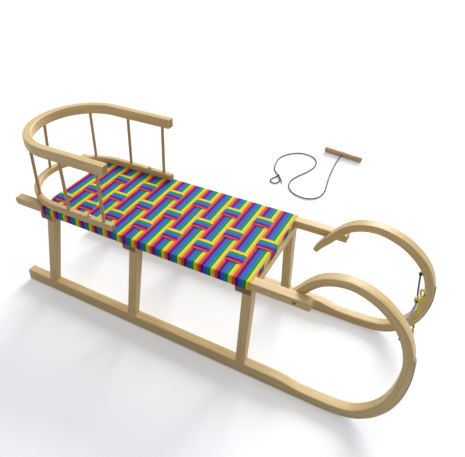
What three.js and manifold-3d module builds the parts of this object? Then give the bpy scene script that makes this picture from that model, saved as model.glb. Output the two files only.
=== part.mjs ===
// Baby pull sled with bent-wood horns, a woven webbing seat and a lift-off backrest.
// Millimetres, +X forward, +Y to the left, +Z up. The origin lies on the floor under the
// middle of the sled.
import * as THREE from 'three';
import { mergeVertices } from 'three/addons/utils/BufferGeometryUtils.js';
import Module from 'manifold-3d';

const wasm = await Module();
wasm.setup();

// Clearances shared by all pieces
const seatGap = 0.3;
const overrun = 4;

// Seat rails
const railTopZ = 302;
const railTall = 21.5;
const railWide = 27.5;
const railOuterY = 151;
const railRearX = -552;
const railFrontX = 330;
const railFrontRound = 7;
const railRearChamfer = 7;
const woodEdge = 2.4;

// Runners and their horns
const runnerRearX = -556;
const runnerTall = 36;
const runnerWide = 28;
const runnerOuterY = 167;
const taperLong = 66;
const taperEndAhead = 13;
const hornStartAhead = 58;
const hornReach = 169.5;
const hornTopZ = 372.5;
const hornThick = 25.5;
const hornTailThick = 18;
const hornTipStartShare = 0.92;
const hornTipThinShare = 0.78;
const hornTailTrim = { left: 0, right: 14 };
const hornSteps = 46;
const taperSteps = 6;
const hornBendStartAngle = -Math.PI / 2;
const hornBendEndAngle = Math.PI * 0.56;

// Outer line of the horn from the floor round the front to the tail: shares of the reach
// from the horn's start to its front, and of its height
const hornOuterShares = [
  [0, 0], [0.26, 0.01], [0.48, 0.036], [0.67, 0.097], [0.8, 0.168], [0.89, 0.244], [0.953, 0.334],
  [0.989, 0.43], [1, 0.53], [0.977, 0.625], [0.918, 0.713], [0.824, 0.795], [0.69, 0.867],
  [0.514, 0.932], [0.315, 0.976], [0.1, 1], [-0.12, 0.99], [-0.32, 0.95], [-0.47, 0.887],
  [-0.61, 0.801], [-0.71, 0.737], [-0.79, 0.672],
];
const hornCentreShare = 0.07;

// Steel strips under the runners
const stripThick = 2.2;
const stripWide = 22;
const stripRearInset = 6;
const stripEndZ = 238;

// Yokes, the beams between the rails and the legs
const yokeTall = 22;
const yokeDeep = 43;
const yokeEndInset = 1;
const yokeRound = 7;

// Legs, which widen from the runner up and inward to the yoke
const legFootDeep = 24.5;
const legFootWide = 24;
const legTopDeep = 25.5;
const legTopWide = 30;
const legTopInset = 6;
const legRound = 2;
const tenonDeep = 13;
const tenonWide = 11;
const tenonLong = 13;
const legFootX = { rear: -454, middle: -159.5, front: 177.5 };
const legTopX = { rear: -430.5, middle: -145, front: 179.5 };

// Crossbars that close the seat at the front and the rear
const crossbarDeep = 18;
const crossbarTenonSide = 9;
const crossbarTenonLong = 8;

// Webbing
const seatFrontX = 189;
const seatRearX = -451;
const crossStrapCount = 14;
const webThick = 1.4;
const webWide = 43;
const longStrapY = { left: 75.5, middle: -7, right: -84 };
const flapUnder = 9;
const longStrapUnder = 12;

// Backrest
const bowFrontX = -202;
const bowArcX = -400;
const bowEdge = 3;
const lowerBowTall = 19.5;
const lowerBowWide = 17;
const lowerBowOuterY = 152;
const lowerBowRearX = -562;
const upperBowTall = 28;
const upperBowWide = 23;
const upperBowOuterY = 159;
const upperBowRearX = -552;
const upperBowTopZ = 500.5;
const bowArcSteps = 20;
const spindleRadius = 4.5;
const spindleSeatDeep = 9;
const spindleSides = 12;
const armSpindleX = { front: -231.5, middle: -351.5 };
const cornerSpindleX = -475;

// Backrest bolts and the threaded inserts that they screw into
const boltX = -282;
const boltRadius = 3;
const boltHeadRadius = 6.5;
const boltHeadTall = 3.6;
const boltCrownShare = 0.55;
const insertRadius = 4.6;
const insertLong = 15;
const insertBoreRadius = 3.35;

// Screws that hold the horns' tails to the rails
const hornScrewInset = 37;
const hornScrewRadius = 2.6;
const hornScrewHeadRadius = 4.8;
const hornScrewHeadTall = 3;
const hornScrewRecess = 4.5;
const hornScrewBite = 15;
const screwCrownShare = 0.6;

// Cable between the eyes in the hollow of the horns, and the short tether on it
const cableEyeShare = 0.5;
const cableSag = 10.7;
const cableForward = 8.6;
const cableRadius = 2.2;
const cableBite = 6;
const eyeRadius = 4.2;
const eyeLong = 9;
const eyeSideShift = 6.5;
const eyeShankRadius = 2;
const eyeShankLong = 12;
const eyeRoundShare = 0.7;
const hitchWide = 14;
const hitchWall = 3.4;
const hitchY = 30;
const hitchShoulderShare = 0.85;
const cableSlackShares = [0.9, 0.75, 0.5, 0.25];
const tetherRadius = 2.7;
const tetherRoute = [
  [533, 28, 254.5], [535, 27, 263.5], [536.2, 27, 272.5], [535.8, 28.5, 280.5], [532.4, 31, 286.5],
  [528, 33.5, 286], [526, 36, 279], [527.2, 38, 270], [530.2, 39.4, 261], [531.8, 39.8, 250],
  [532, 38.8, 238], [532, 37.6, 225], [532.2, 36.4, 211], [532.8, 35.2, 197], [533.4, 34, 183],
  [534.2, 33, 168], [535, 32, 153],
];

// Pull rope with its end loop and wooden handle, laid out on the floor behind the sled
const ropeRadius = 2.5;
const ropeLift = 2.8;
const ropeKnotRadius = 6;
const ropeKnotFlatShare = 0.62;
const ropeKnotLiftShare = 0.25;
const handleRadius = 12;
const handleLong = 168;
const handleChamfer = 1.5;
const handleCentre = [78, 1089];
const handleAngle = -0.166;
const ropeRun = [
  [-108, 803, 3.6], [-126, 820, 2.8], [-143, 845, 2.8], [-156, 889, 2.8], [-160, 942, 2.8],
  [-145, 984, 2.8], [-114, 1018, 2.8], [-86, 1030, 2.8], [-55, 1028, 2.8], [-28, 1014, 2.8],
  [-9, 989, 2.8], [0, 948, 2.8], [-7, 903, 2.8], [-20, 867, 2.8], [-35, 832, 2.8], [-46, 793, 2.8],
  [-44, 758, 2.8], [-34, 732, 2.8], [-15, 709, 2.8], [8, 695, 2.8], [32, 689, 2.8], [58, 691, 2.8],
  [79, 704, 2.8], [93, 725, 2.8], [99, 753, 2.8], [98, 785, 2.8], [90, 831, 2.8], [82, 880, 2.8],
  [76, 935, 2.8], [71, 990, 2.9], [70, 1024, 4.6], [71.6, 1048, 9.8], [74, 1065.4, 12],
  [76, 1077.3, 12], [80, 1101, 12],
];
const ropeLoop = [
  [-108, 795, 4.4], [-114, 783, 2.8], [-122, 764, 2.8], [-121, 747, 2.8], [-108, 737, 2.8],
  [-93, 740, 2.8], [-87, 755, 2.8], [-92, 776, 2.8], [-104, 794, 4.4],
];
const ropeTail = [[-104, 795, 4.4], [-92, 783, 2.9], [-81, 767, 2.8], [-75, 752, 2.8]];

// Places that follow from the sizes above
const taperEndX = railFrontX + taperEndAhead;
const taperStartX = taperEndX - taperLong;
const hornStartX = railFrontX + hornStartAhead;
const hornFrontX = hornStartX + hornReach;
const hornScrewX = railFrontX - hornScrewInset;
const stripBottomZ = 0;
const woodBottomZ = stripBottomZ + stripThick + seatGap;
const runnerTopZ = woodBottomZ + runnerTall;
const runnerMidY = runnerOuterY - runnerWide / 2;
const railInnerY = railOuterY - railWide;
const railMidY = railOuterY - railWide / 2;
const railBottomZ = railTopZ - railTall;
const hornInward = runnerMidY - (railInnerY - seatGap - runnerWide / 2);
const hornCentreX = hornStartX + (hornFrontX - hornStartX) * hornCentreShare;
const hornCentreZ = hornTopZ / 2;
const yokeTopZ = railBottomZ - seatGap;
const yokeBottomZ = yokeTopZ - yokeTall;
const legTopZ = yokeBottomZ - seatGap;
const legFootZ = runnerTopZ + seatGap;
const legTopY = railMidY - legTopInset;
const webBottomZ = railTopZ + seatGap;
const webMidZ = webBottomZ + webThick / 2;
const webTopZ = webBottomZ + webThick;
const webStep = webThick + seatGap;
const crossbarTopZ = webBottomZ - webStep - seatGap;
const crossbarTall = crossbarTopZ - yokeTopZ - webStep - seatGap;
const crossbarMidZ = crossbarTopZ - crossbarTall / 2;
const strapPitch = (seatFrontX - seatRearX) / crossStrapCount;
const lowerBowZ = webTopZ + seatGap;
const lowerBowTopZ = lowerBowZ + lowerBowTall;
const upperBowZ = upperBowTopZ - upperBowTall;
const lowerSpindleY = lowerBowOuterY - lowerBowWide / 2;
const boltShankBottomZ = railTopZ - insertLong + seatGap;
const sides = { left: 1, right: -1 };
const places = ['front', 'middle', 'rear'];

// Materials
const material = (color, roughness, metalness = 0) =>
  new THREE.MeshStandardMaterial({ color, roughness, metalness });
const paleWood = () => material(0xdcc08c, 0.45);
const dowelWood = () => material(0xcfae78, 0.5);
const handleWood = () => material(0xe0b890, 0.55);
const steel = () => material(0x8d949a, 0.35, 0.9);
const brass = () => material(0xb9974e, 0.35, 0.9);
const blackPlastic = () => material(0x1d1d20, 0.6);
const greyCable = () => material(0x5c6270, 0.45, 0.4);
const yellowCord = () => material(0xe6d23c, 0.8);
const darkRope = () => material(0x2f3230, 0.85);
const webbingColours = [0x3f4fc0, 0x2e9a52];

const sled = new THREE.Group();

function add(name, geometry, surface) {
  const mesh = new THREE.Mesh(geometry, surface);
  mesh.name = name;
  sled.add(mesh);
  return mesh;
}

// Cuts and joins
function toSolid(geometry) {
  const bare = geometry.clone();
  bare.deleteAttribute('normal');
  bare.deleteAttribute('uv');
  const merged = mergeVertices(bare);
  const mesh = new wasm.Mesh({
    numProp: 3,
    vertProperties: new Float32Array(merged.attributes.position.array),
    triVerts: new Uint32Array(merged.index.array),
  });
  return new wasm.Manifold(mesh);
}

function toGeometry(solid) {
  const mesh = solid.getMesh();
  const geometry = new THREE.BufferGeometry();
  geometry.setAttribute('position', new THREE.BufferAttribute(mesh.vertProperties, 3));
  geometry.setIndex(new THREE.BufferAttribute(mesh.triVerts, 1));
  geometry.computeVertexNormals();
  return geometry;
}

function cut(geometry, tools) {
  return toGeometry(tools.reduce((solid, tool) => solid.subtract(toSolid(tool)), toSolid(geometry)));
}

function join(geometries) {
  const [first, ...others] = geometries.map(toSolid);
  return toGeometry(others.reduce((solid, other) => solid.add(other), first));
}

// Turns of a prism that is drawn flat and grows along its own third axis
const alongX = new THREE.Matrix4().makeBasis(
  new THREE.Vector3(0, 1, 0), new THREE.Vector3(0, 0, 1), new THREE.Vector3(1, 0, 0));
const alongY = new THREE.Matrix4().makeBasis(
  new THREE.Vector3(1, 0, 0), new THREE.Vector3(0, 0, 1), new THREE.Vector3(0, -1, 0));
const alongZ = new THREE.Matrix4();

// A prism with rounded edges, centred on its own length
function prism(outline, long, edge, turn, curveSegments = 3) {
  const geometry = new THREE.ExtrudeGeometry(outline, {
    depth: long - 2 * edge,
    bevelEnabled: edge > 0,
    bevelThickness: edge,
    bevelSize: edge,
    bevelOffset: -edge,
    bevelSegments: 1,
    curveSegments,
  });
  geometry.translate(0, 0, edge - long / 2);
  return geometry.applyMatrix4(turn);
}

const outlineOf = (points) => new THREE.Shape(points.map(([x, y]) => new THREE.Vector2(x, y)));

function boxBetween([x0, y0, z0], [x1, y1, z1]) {
  const box = new THREE.BoxGeometry(x1 - x0, y1 - y0, z1 - z0);
  return box.translate((x0 + x1) / 2, (y0 + y1) / 2, (z0 + z1) / 2);
}

function roundRod(from, to, radius, segments = spindleSides) {
  const start = new THREE.Vector3(...from);
  const along = new THREE.Vector3(...to).sub(start);
  const rod = new THREE.CylinderGeometry(radius, radius, along.length(), segments);
  rod.translate(0, along.length() / 2, 0);
  const turn = new THREE.Quaternion().setFromUnitVectors(
    new THREE.Vector3(0, 1, 0), along.clone().normalize());
  rod.applyQuaternion(turn);
  return rod.translate(...from);
}

function tube(points, radius, corners, steps) {
  const route = new THREE.CatmullRomCurve3(points.map((point) => new THREE.Vector3(...point)));
  const ring = Array.from({ length: corners }, (_, i) => {
    const angle = (i / corners) * 2 * Math.PI;
    return [radius * Math.cos(angle), radius * Math.sin(angle)];
  });
  return new THREE.ExtrudeGeometry(outlineOf(ring), { steps, bevelEnabled: false, extrudePath: route });
}

// Horn line
const smooth = (share) => {
  const t = THREE.MathUtils.clamp(share, 0, 1);
  return t * t * (3 - 2 * t);
};

const hornCurve = new THREE.SplineCurve(hornOuterShares.map(([x, z]) => new THREE.Vector2(
  THREE.MathUtils.lerp(hornStartX, hornFrontX, x),
  THREE.MathUtils.lerp(woodBottomZ, hornTopZ, z))));

// A point of the runner's outer line with the outward direction and the wood's thickness there
function hornAt(share) {
  const at = hornCurve.getPointAt(share);
  const along = hornCurve.getTangentAt(share);
  const tip = smooth((share - hornTipStartShare) / (1 - hornTipStartShare));
  const thick = THREE.MathUtils.lerp(hornThick, hornTailThick, share)
    * THREE.MathUtils.lerp(1, hornTipThinShare, tip);
  return { x: at.x, z: at.y, outX: along.y, outZ: -along.x, thick };
}

const hornLine = (endShare = 1) =>
  Array.from({ length: hornSteps + 1 }, (_, i) => hornAt((endShare * i) / hornSteps));

function taperLine() {
  const line = [];
  for (let i = 0; i <= taperSteps; i += 1) {
    const share = i / taperSteps;
    const thick = THREE.MathUtils.lerp(runnerTall, hornThick, smooth(share));
    line.push([THREE.MathUtils.lerp(taperStartX, taperEndX, share), woodBottomZ + thick]);
  }
  return line;
}

// Place of the horn's middle plane at a point of its loop
function hornMidY(x, z) {
  const angle = Math.atan2(z - hornCentreZ, x - hornCentreX);
  const share = (angle - hornBendStartAngle) / (hornBendEndAngle - hornBendStartAngle);
  return runnerMidY - hornInward * smooth(share);
}

// Carries a flat horn piece out to its side, and bends its loop in towards the rail
function bendInward(geometry, side) {
  const position = geometry.attributes.position;
  for (let i = 0; i < position.count; i += 1) {
    const middle = side * hornMidY(position.getX(i), position.getZ(i));
    position.setY(i, position.getY(i) + middle);
  }
  geometry.computeVertexNormals();
  return geometry;
}

// A bar with rounded edges that leans as the leg does, between two heights and two sections
function leaningBar(place, side, foot, head, fromZ, toZ) {
  const outline = new THREE.Shape();
  const halfDeep = foot.deep / 2;
  const halfWide = foot.wide / 2;
  outline.moveTo(-halfDeep + legRound, -halfWide);
  outline.lineTo(halfDeep - legRound, -halfWide);
  outline.quadraticCurveTo(halfDeep, -halfWide, halfDeep, -halfWide + legRound);
  outline.lineTo(halfDeep, halfWide - legRound);
  outline.quadraticCurveTo(halfDeep, halfWide, halfDeep - legRound, halfWide);
  outline.lineTo(-halfDeep + legRound, halfWide);
  outline.quadraticCurveTo(-halfDeep, halfWide, -halfDeep, halfWide - legRound);
  outline.lineTo(-halfDeep, -halfWide + legRound);
  outline.quadraticCurveTo(-halfDeep, -halfWide, -halfDeep + legRound, -halfWide);
  const bar = new THREE.ExtrudeGeometry(outline, {
    depth: toZ - fromZ, bevelEnabled: false, curveSegments: 2,
  });
  const position = bar.attributes.position;
  for (let i = 0; i < position.count; i += 1) {
    const share = position.getZ(i) / (toZ - fromZ);
    position.setX(i, position.getX(i) * THREE.MathUtils.lerp(1, head.deep / foot.deep, share));
    position.setY(i, position.getY(i) * THREE.MathUtils.lerp(1, head.wide / foot.wide, share));
  }
  bar.translate(0, 0, fromZ - legFootZ);
  const rise = legTopZ - legFootZ;
  const leanX = (legTopX[place] - legFootX[place]) / rise;
  const leanY = (side * (legTopY - runnerMidY)) / rise;
  bar.applyMatrix4(new THREE.Matrix4().makeShear(0, 0, 0, 0, leanX, leanY));
  return bar.translate(legFootX[place], side * runnerMidY, legFootZ);
}

function tenon(place, side, spare, fromZ, toZ) {
  const section = { deep: tenonDeep + 2 * spare, wide: tenonWide + 2 * spare };
  return leaningBar(place, side, section, section, fromZ, toZ);
}

const tenonBottomZ = legFootZ - tenonLong;
const tenonTopZ = legTopZ + tenonLong;

function leg(place, side) {
  const foot = { deep: legFootDeep, wide: legFootWide };
  const head = { deep: legTopDeep, wide: legTopWide };
  return join([
    leaningBar(place, side, foot, head, legFootZ, legTopZ),
    tenon(place, side, 0, tenonBottomZ, tenonTopZ),
  ]);
}

function mortise(place, side) {
  return tenon(place, side, seatGap, tenonBottomZ - seatGap, tenonTopZ + seatGap);
}

// Runner and horn in one bent piece
function runner(name, side) {
  const horn = hornLine(1 - hornTailTrim[name] / hornCurve.getLength());
  const outline = outlineOf([
    [runnerRearX, woodBottomZ],
    ...horn.map(({ x, z }) => [x, z]),
    ...horn.map(({ x, z, outX, outZ, thick }) => [x - outX * thick, z - outZ * thick]).reverse(),
    ...taperLine().reverse(),
    [runnerRearX, runnerTopZ],
  ]);
  const bent = bendInward(prism(outline, runnerWide, woodEdge, alongY), side);
  return cut(bent, [
    ...places.map((place) => mortise(place, side)),
    hornScrewHole(side),
    eyeHole(side),
  ]);
}

function steelStrip(side) {
  const horn = hornLine();
  const end = horn.findIndex(({ x, z }) => x > hornStartX && z > stripEndZ);
  const face = horn.slice(0, end + 1);
  const offset = (far) => face.map(({ x, z, outX, outZ }) => [x + outX * far, z + outZ * far]);
  const rearX = runnerRearX + stripRearInset;
  const outline = outlineOf([
    [rearX, stripBottomZ],
    ...offset(stripThick + seatGap),
    ...offset(seatGap).reverse(),
    [rearX, stripBottomZ + stripThick],
  ]);
  return bendInward(prism(outline, stripWide, 0, alongY), side);
}

// Rails
function hornScrewHole(side) {
  const deepestY = railInnerY - seatGap - hornScrewBite;
  return roundRod([hornScrewX, side * (deepestY - seatGap), railTopZ - railTall / 2],
    [hornScrewX, side * (railOuterY + overrun), railTopZ - railTall / 2],
    hornScrewRadius + seatGap);
}

function hornScrewCounterbore(side) {
  return roundRod([hornScrewX, side * (railOuterY - hornScrewRecess), railTopZ - railTall / 2],
    [hornScrewX, side * (railOuterY + overrun), railTopZ - railTall / 2],
    hornScrewHeadRadius + 2 * seatGap, 20);
}

function insertHole(side) {
  return roundRod([boltX, side * lowerSpindleY, railTopZ - insertLong - 2 * seatGap],
    [boltX, side * lowerSpindleY, railTopZ + overrun], insertRadius + seatGap);
}

function crossbarTenon(x, side, spare) {
  const half = crossbarTenonSide / 2 + spare;
  const inner = railInnerY - seatGap - overrun;
  const outer = railInnerY + crossbarTenonLong + spare;
  const [low, high] = side > 0 ? [inner, outer] : [-outer, -inner];
  return boxBetween([x - half, low, crossbarMidZ - half], [x + half, high, crossbarMidZ + half]);
}

const crossbarX = {
  front: seatFrontX - webStep - crossbarDeep / 2,
  rear: seatRearX + webStep + crossbarDeep / 2,
};

function rail(side) {
  const outline = new THREE.Shape();
  outline.moveTo(railRearX + railRearChamfer, railBottomZ);
  outline.lineTo(railFrontX, railBottomZ);
  outline.lineTo(railFrontX, railTopZ - railFrontRound);
  outline.quadraticCurveTo(railFrontX, railTopZ, railFrontX - railFrontRound, railTopZ);
  outline.lineTo(railRearX, railTopZ);
  outline.lineTo(railRearX, railBottomZ + railRearChamfer);
  const bar = prism(outline, railWide, woodEdge, alongY).translate(0, side * railMidY, 0);
  return cut(bar, [
    hornScrewHole(side),
    hornScrewCounterbore(side),
    insertHole(side),
    crossbarTenon(crossbarX.front, side, seatGap),
    crossbarTenon(crossbarX.rear, side, seatGap),
  ]);
}

// Yokes and crossbars
function yoke(place) {
  const endY = railOuterY - yokeEndInset;
  const outline = new THREE.Shape();
  outline.moveTo(-endY + yokeRound, yokeBottomZ);
  outline.lineTo(endY - yokeRound, yokeBottomZ);
  outline.quadraticCurveTo(endY, yokeBottomZ, endY, yokeBottomZ + yokeRound);
  outline.lineTo(endY, yokeTopZ);
  outline.lineTo(-endY, yokeTopZ);
  outline.lineTo(-endY, yokeBottomZ + yokeRound);
  outline.quadraticCurveTo(-endY, yokeBottomZ, -endY + yokeRound, yokeBottomZ);
  const beam = prism(outline, yokeDeep, woodEdge, alongX).translate(yokeMidX(place), 0, 0);
  return cut(beam, Object.values(sides).map((side) => mortise(place, side)));
}

// The leg's front face is flush with the front face of its yoke
const yokeMidX = (place) => legTopX[place] + legTopDeep / 2 - yokeDeep / 2;

function crossbar(x) {
  const endY = railInnerY - seatGap;
  const low = crossbarTopZ - crossbarTall;
  const outline = outlineOf([
    [x - crossbarDeep / 2, low], [x + crossbarDeep / 2, low],
    [x + crossbarDeep / 2, crossbarTopZ], [x - crossbarDeep / 2, crossbarTopZ],
  ]);
  const bar = prism(outline, 2 * endY, woodEdge / 2, alongY);
  return join([bar, ...Object.values(sides).map((side) => crossbarTenon(x, side, 0))]);
}

// Webbing
const strapMidX = (index) => seatFrontX - (index + 0.5) * strapPitch;

function overYoke(index) {
  const reach = (yokeDeep + webWide) / 2;
  return places.some((place) => Math.abs(strapMidX(index) - yokeMidX(place)) < reach);
}

// A band of webbing that follows a line, drawn flat and grown to the webbing's width
function band(line, wide, turn) {
  const half = webThick / 2;
  const shifted = (far) => line.map((point, i) => {
    const before = line[Math.max(i - 1, 0)];
    const after = line[Math.min(i + 1, line.length - 1)];
    const way = (a, b) => new THREE.Vector2(b[0] - a[0], b[1] - a[1]).normalize();
    const first = i === 0 ? way(point, after) : way(before, point);
    const second = i === line.length - 1 ? first : way(point, after);
    const across = new THREE.Vector2(-first.y - second.y, first.x + second.x).normalize();
    const stretch = far / across.dot(new THREE.Vector2(-first.y, first.x));
    return [point[0] + across.x * stretch, point[1] + across.y * stretch];
  });
  return prism(outlineOf([...shifted(-half), ...shifted(half).reverse()]), wide, 0, turn);
}

function crossStrap(index) {
  const sideY = railOuterY + seatGap + webThick / 2;
  const lowZ = railBottomZ - seatGap - webThick / 2;
  const half = [[0, webMidZ], [sideY, webMidZ], [sideY, railBottomZ]];
  if (!overYoke(index)) half.splice(2, 1, [sideY, lowZ], [railOuterY - flapUnder, lowZ]);
  const mirrored = half.slice(1).map(([y, z]) => [-y, z]).reverse();
  const strap = band([...mirrored, ...half.slice(1)], webWide, alongX);
  strap.translate(strapMidX(index), 0, 0);
  const holes = Object.values(sides).map((side) => roundRod(
    [boltX, side * lowerSpindleY, railTopZ], [boltX, side * lowerSpindleY, webTopZ + overrun],
    boltRadius + 2 * seatGap));
  return Math.abs(strapMidX(index) - boltX) < webWide / 2 ? cut(strap, holes) : strap;
}

// A lengthwise strap passes over and under the cross straps in turn, and wraps round the
// crossbar at each end
function longStrap(y, overFirst) {
  const level = (index) => webMidZ + ((index % 2 === 0) === overFirst ? webStep : -webStep);
  const edgeX = (index) => seatFrontX - index * strapPitch;
  const line = [];
  for (let i = 0; i < crossStrapCount; i += 1) {
    line.push([edgeX(i), level(i)], [edgeX(i + 1), level(i)]);
  }
  const lowZ = crossbarTopZ - crossbarTall - seatGap - webThick / 2;
  const outX = webThick / 2 + seatGap;
  const frontX = level(0) > webMidZ ? seatFrontX + outX : crossbarX.front + crossbarDeep / 2 + outX;
  const rearOver = level(crossStrapCount - 1) > webMidZ;
  const rearX = rearOver ? seatRearX - outX : crossbarX.rear - crossbarDeep / 2 - outX;
  line[0][0] = frontX;
  line[line.length - 1][0] = rearX;
  line.unshift([frontX - longStrapUnder, lowZ], [frontX, lowZ]);
  line.push([rearX, lowZ], [rearX + longStrapUnder, lowZ]);
  return band(line, webWide, alongY).translate(0, y, 0);
}

// Backrest bows, bent round the back
function bow(outerY, wide, rearX, tall, lowZ) {
  const innerY = outerY - wide;
  const outline = new THREE.Shape();
  outline.moveTo(bowFrontX, -outerY);
  outline.lineTo(bowFrontX, -innerY);
  outline.lineTo(bowArcX, -innerY);
  outline.absellipse(bowArcX, 0, bowArcX - rearX - wide, innerY, -Math.PI / 2, Math.PI / 2, true);
  outline.lineTo(bowFrontX, innerY);
  outline.lineTo(bowFrontX, outerY);
  outline.lineTo(bowArcX, outerY);
  outline.absellipse(bowArcX, 0, bowArcX - rearX, outerY, Math.PI / 2, -Math.PI / 2, false);
  return prism(outline, tall, bowEdge, alongZ, bowArcSteps).translate(0, 0, lowZ + tall / 2);
}

// Where a spindle meets the middle line of a bow
function bowPoint(outerY, wide, rearX, x, side) {
  const midY = outerY - wide / 2;
  const midRearX = rearX + wide / 2;
  if (side === 0) return [midRearX, 0];
  if (x > bowArcX) return [x, side * midY];
  const share = (bowArcX - x) / (bowArcX - midRearX);
  return [x, side * midY * Math.sqrt(1 - share * share)];
}

const upperPoint = (x, side) => bowPoint(upperBowOuterY, upperBowWide, upperBowRearX, x, side);
const lowerPoint = (x, side) => bowPoint(lowerBowOuterY, lowerBowWide, lowerBowRearX, x, side);

function spindleList() {
  const list = [{ name: 'spindle_rear', foot: lowerPoint(0, 0), head: upperPoint(0, 0) }];
  const stations = { ...armSpindleX, rear_corner: cornerSpindleX };
  for (const [sideName, side] of Object.entries(sides)) {
    for (const [station, x] of Object.entries(stations)) {
      const name = `spindle_${sideName}_${station}`;
      list.push({ name, foot: lowerPoint(x, side), head: upperPoint(x, side) });
    }
  }
  return list;
}

function spindleRod({ foot, head }, radius, spare) {
  const footZ = lowerBowTopZ - spindleSeatDeep - spare;
  const headZ = upperBowZ + spindleSeatDeep + spare;
  return roundRod([...foot, footZ], [...head, headZ], radius);
}

function lowerBow() {
  const sockets = spindleList().map((spindle) => spindleRod(spindle, spindleRadius + seatGap, seatGap));
  const boltHoles = Object.values(sides).map((side) => roundRod(
    [boltX, side * lowerSpindleY, lowerBowZ - overrun],
    [boltX, side * lowerSpindleY, lowerBowTopZ + overrun], boltRadius + seatGap));
  const plain = bow(lowerBowOuterY, lowerBowWide, lowerBowRearX, lowerBowTall, lowerBowZ);
  return cut(plain, [...sockets, ...boltHoles]);
}

function upperBow() {
  const sockets = spindleList().map((spindle) => spindleRod(spindle, spindleRadius + seatGap, seatGap));
  return cut(bow(upperBowOuterY, upperBowWide, upperBowRearX, upperBowTall, upperBowZ), sockets);
}

// Turned pieces: a profile of radius and height pairs, from the axis round to the axis
function turned(profile, segments = 16) {
  const points = profile.map(([radius, height]) => new THREE.Vector2(radius, height));
  return new THREE.LatheGeometry(points, segments).rotateX(Math.PI / 2);
}

function backrestBolt() {
  const headZ = lowerBowTopZ + seatGap;
  const dome = boltHeadRadius * boltCrownShare;
  return turned([
    [0, boltShankBottomZ], [boltRadius, boltShankBottomZ], [boltRadius, headZ],
    [boltHeadRadius, headZ], [boltHeadRadius, headZ + boltHeadTall / 2],
    [dome, headZ + boltHeadTall], [0, headZ + boltHeadTall],
  ]);
}

function threadedInsert(side) {
  const top = railTopZ - seatGap;
  const bottom = railTopZ - insertLong - seatGap;
  const sleeve = roundRod([boltX, side * lowerSpindleY, bottom],
    [boltX, side * lowerSpindleY, top], insertRadius, 16);
  const bore = roundRod([boltX, side * lowerSpindleY, bottom - overrun],
    [boltX, side * lowerSpindleY, top + overrun], insertBoreRadius, 16);
  return cut(sleeve, [bore]);
}

function hornScrew(side) {
  const seatY = railOuterY - hornScrewRecess + seatGap;
  const tipY = railInnerY - hornScrewBite;
  const crown = hornScrewHeadRadius * screwCrownShare;
  const screw = turned([
    [0, tipY], [hornScrewRadius, tipY], [hornScrewRadius, seatY], [hornScrewHeadRadius, seatY],
    [hornScrewHeadRadius, seatY + hornScrewHeadTall * screwCrownShare],
    [crown, seatY + hornScrewHeadTall], [0, seatY + hornScrewHeadTall],
  ]);
  screw.rotateX((-side * Math.PI) / 2);
  return screw.translate(hornScrewX, 0, railTopZ - railTall / 2);
}

// Cable between the horns, on an eye that is screwed into the hollow of each horn
const eyeSeat = hornAt(cableEyeShare);
const eyeOffset = eyeSeat.thick + seatGap + eyeRadius;
const cableX = eyeSeat.x - eyeSeat.outX * eyeOffset;
const cableZ = eyeSeat.z - eyeSeat.outZ * eyeOffset;
const eyeY = hornMidY(cableX, cableZ) - eyeSideShift;
const hitchX = cableX + cableForward;
const eyeMouthY = eyeY - eyeLong / 2;

// A rod from the middle of an eye into the wood, between two distances
function eyeShank(side, radius, from, to) {
  const at = (far) => [cableX + eyeSeat.outX * far, side * eyeY, cableZ + eyeSeat.outZ * far];
  return roundRod(at(from), at(to), radius);
}

const eyeHole = (side) => eyeShank(side, eyeShankRadius + seatGap, 0, eyeRadius + eyeShankLong + seatGap);

function cableEye(side) {
  const bore = cableRadius + seatGap;
  const cap = turned([
    [0, 0], [eyeRadius * eyeRoundShare, 0], [eyeRadius, eyeRadius * (1 - eyeRoundShare)],
    [eyeRadius, eyeLong], [bore, eyeLong], [bore, eyeLong - cableBite], [0, eyeLong - cableBite],
  ]);
  cap.rotateX((side * Math.PI) / 2);
  cap.translate(cableX, side * (eyeY + eyeLong / 2), cableZ);
  return join([cap, eyeShank(side, eyeShankRadius, (bore + eyeRadius) / 2, eyeRadius + eyeShankLong)]);
}

// Half of the cable, straight through its eye and through the hitch, with slack between them
function cableHalf(side) {
  const freeY = eyeMouthY - cableRadius;
  const slackPoint = (share) => [
    THREE.MathUtils.lerp(hitchX, cableX, share),
    THREE.MathUtils.lerp(hitchY, side * freeY, share),
    cableZ - cableSag * (1 - share * share),
  ];
  return [
    [cableX, side * (eyeMouthY + cableBite - seatGap), cableZ],
    [cableX, side * eyeMouthY, cableZ],
    [cableX, side * freeY, cableZ],
    ...cableSlackShares.map(slackPoint),
    [hitchX, hitchY + side * hitchWide, cableZ - cableSag],
    [hitchX, hitchY + (side * hitchWide) / 2, cableZ - cableSag],
  ];
}

const cableRoute = () => [...cableHalf(sides.left), ...cableHalf(sides.right).reverse()];

// Tether hitched round the middle of the cable, hanging straight down
const hitchOuter = cableRadius + seatGap + hitchWall;

function tetherHitch() {
  const inner = cableRadius + seatGap;
  const shoulder = hitchOuter * hitchShoulderShare;
  const half = hitchWide / 2;
  const ring = turned([
    [inner, -half], [shoulder, -half], [hitchOuter, -half / 2], [hitchOuter, half / 2],
    [shoulder, half], [inner, half], [inner, -half],
  ]);
  ring.rotateX(Math.PI / 2);
  return ring.translate(hitchX, hitchY, cableZ - cableSag);
}

function tetherCord() {
  const endKnot = new THREE.SphereGeometry(tetherRadius * 2, 10, 8);
  endKnot.translate(...tetherRoute[tetherRoute.length - 1]);
  return join([tube(tetherRoute, tetherRadius, 8, 24), endKnot]);
}

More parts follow.
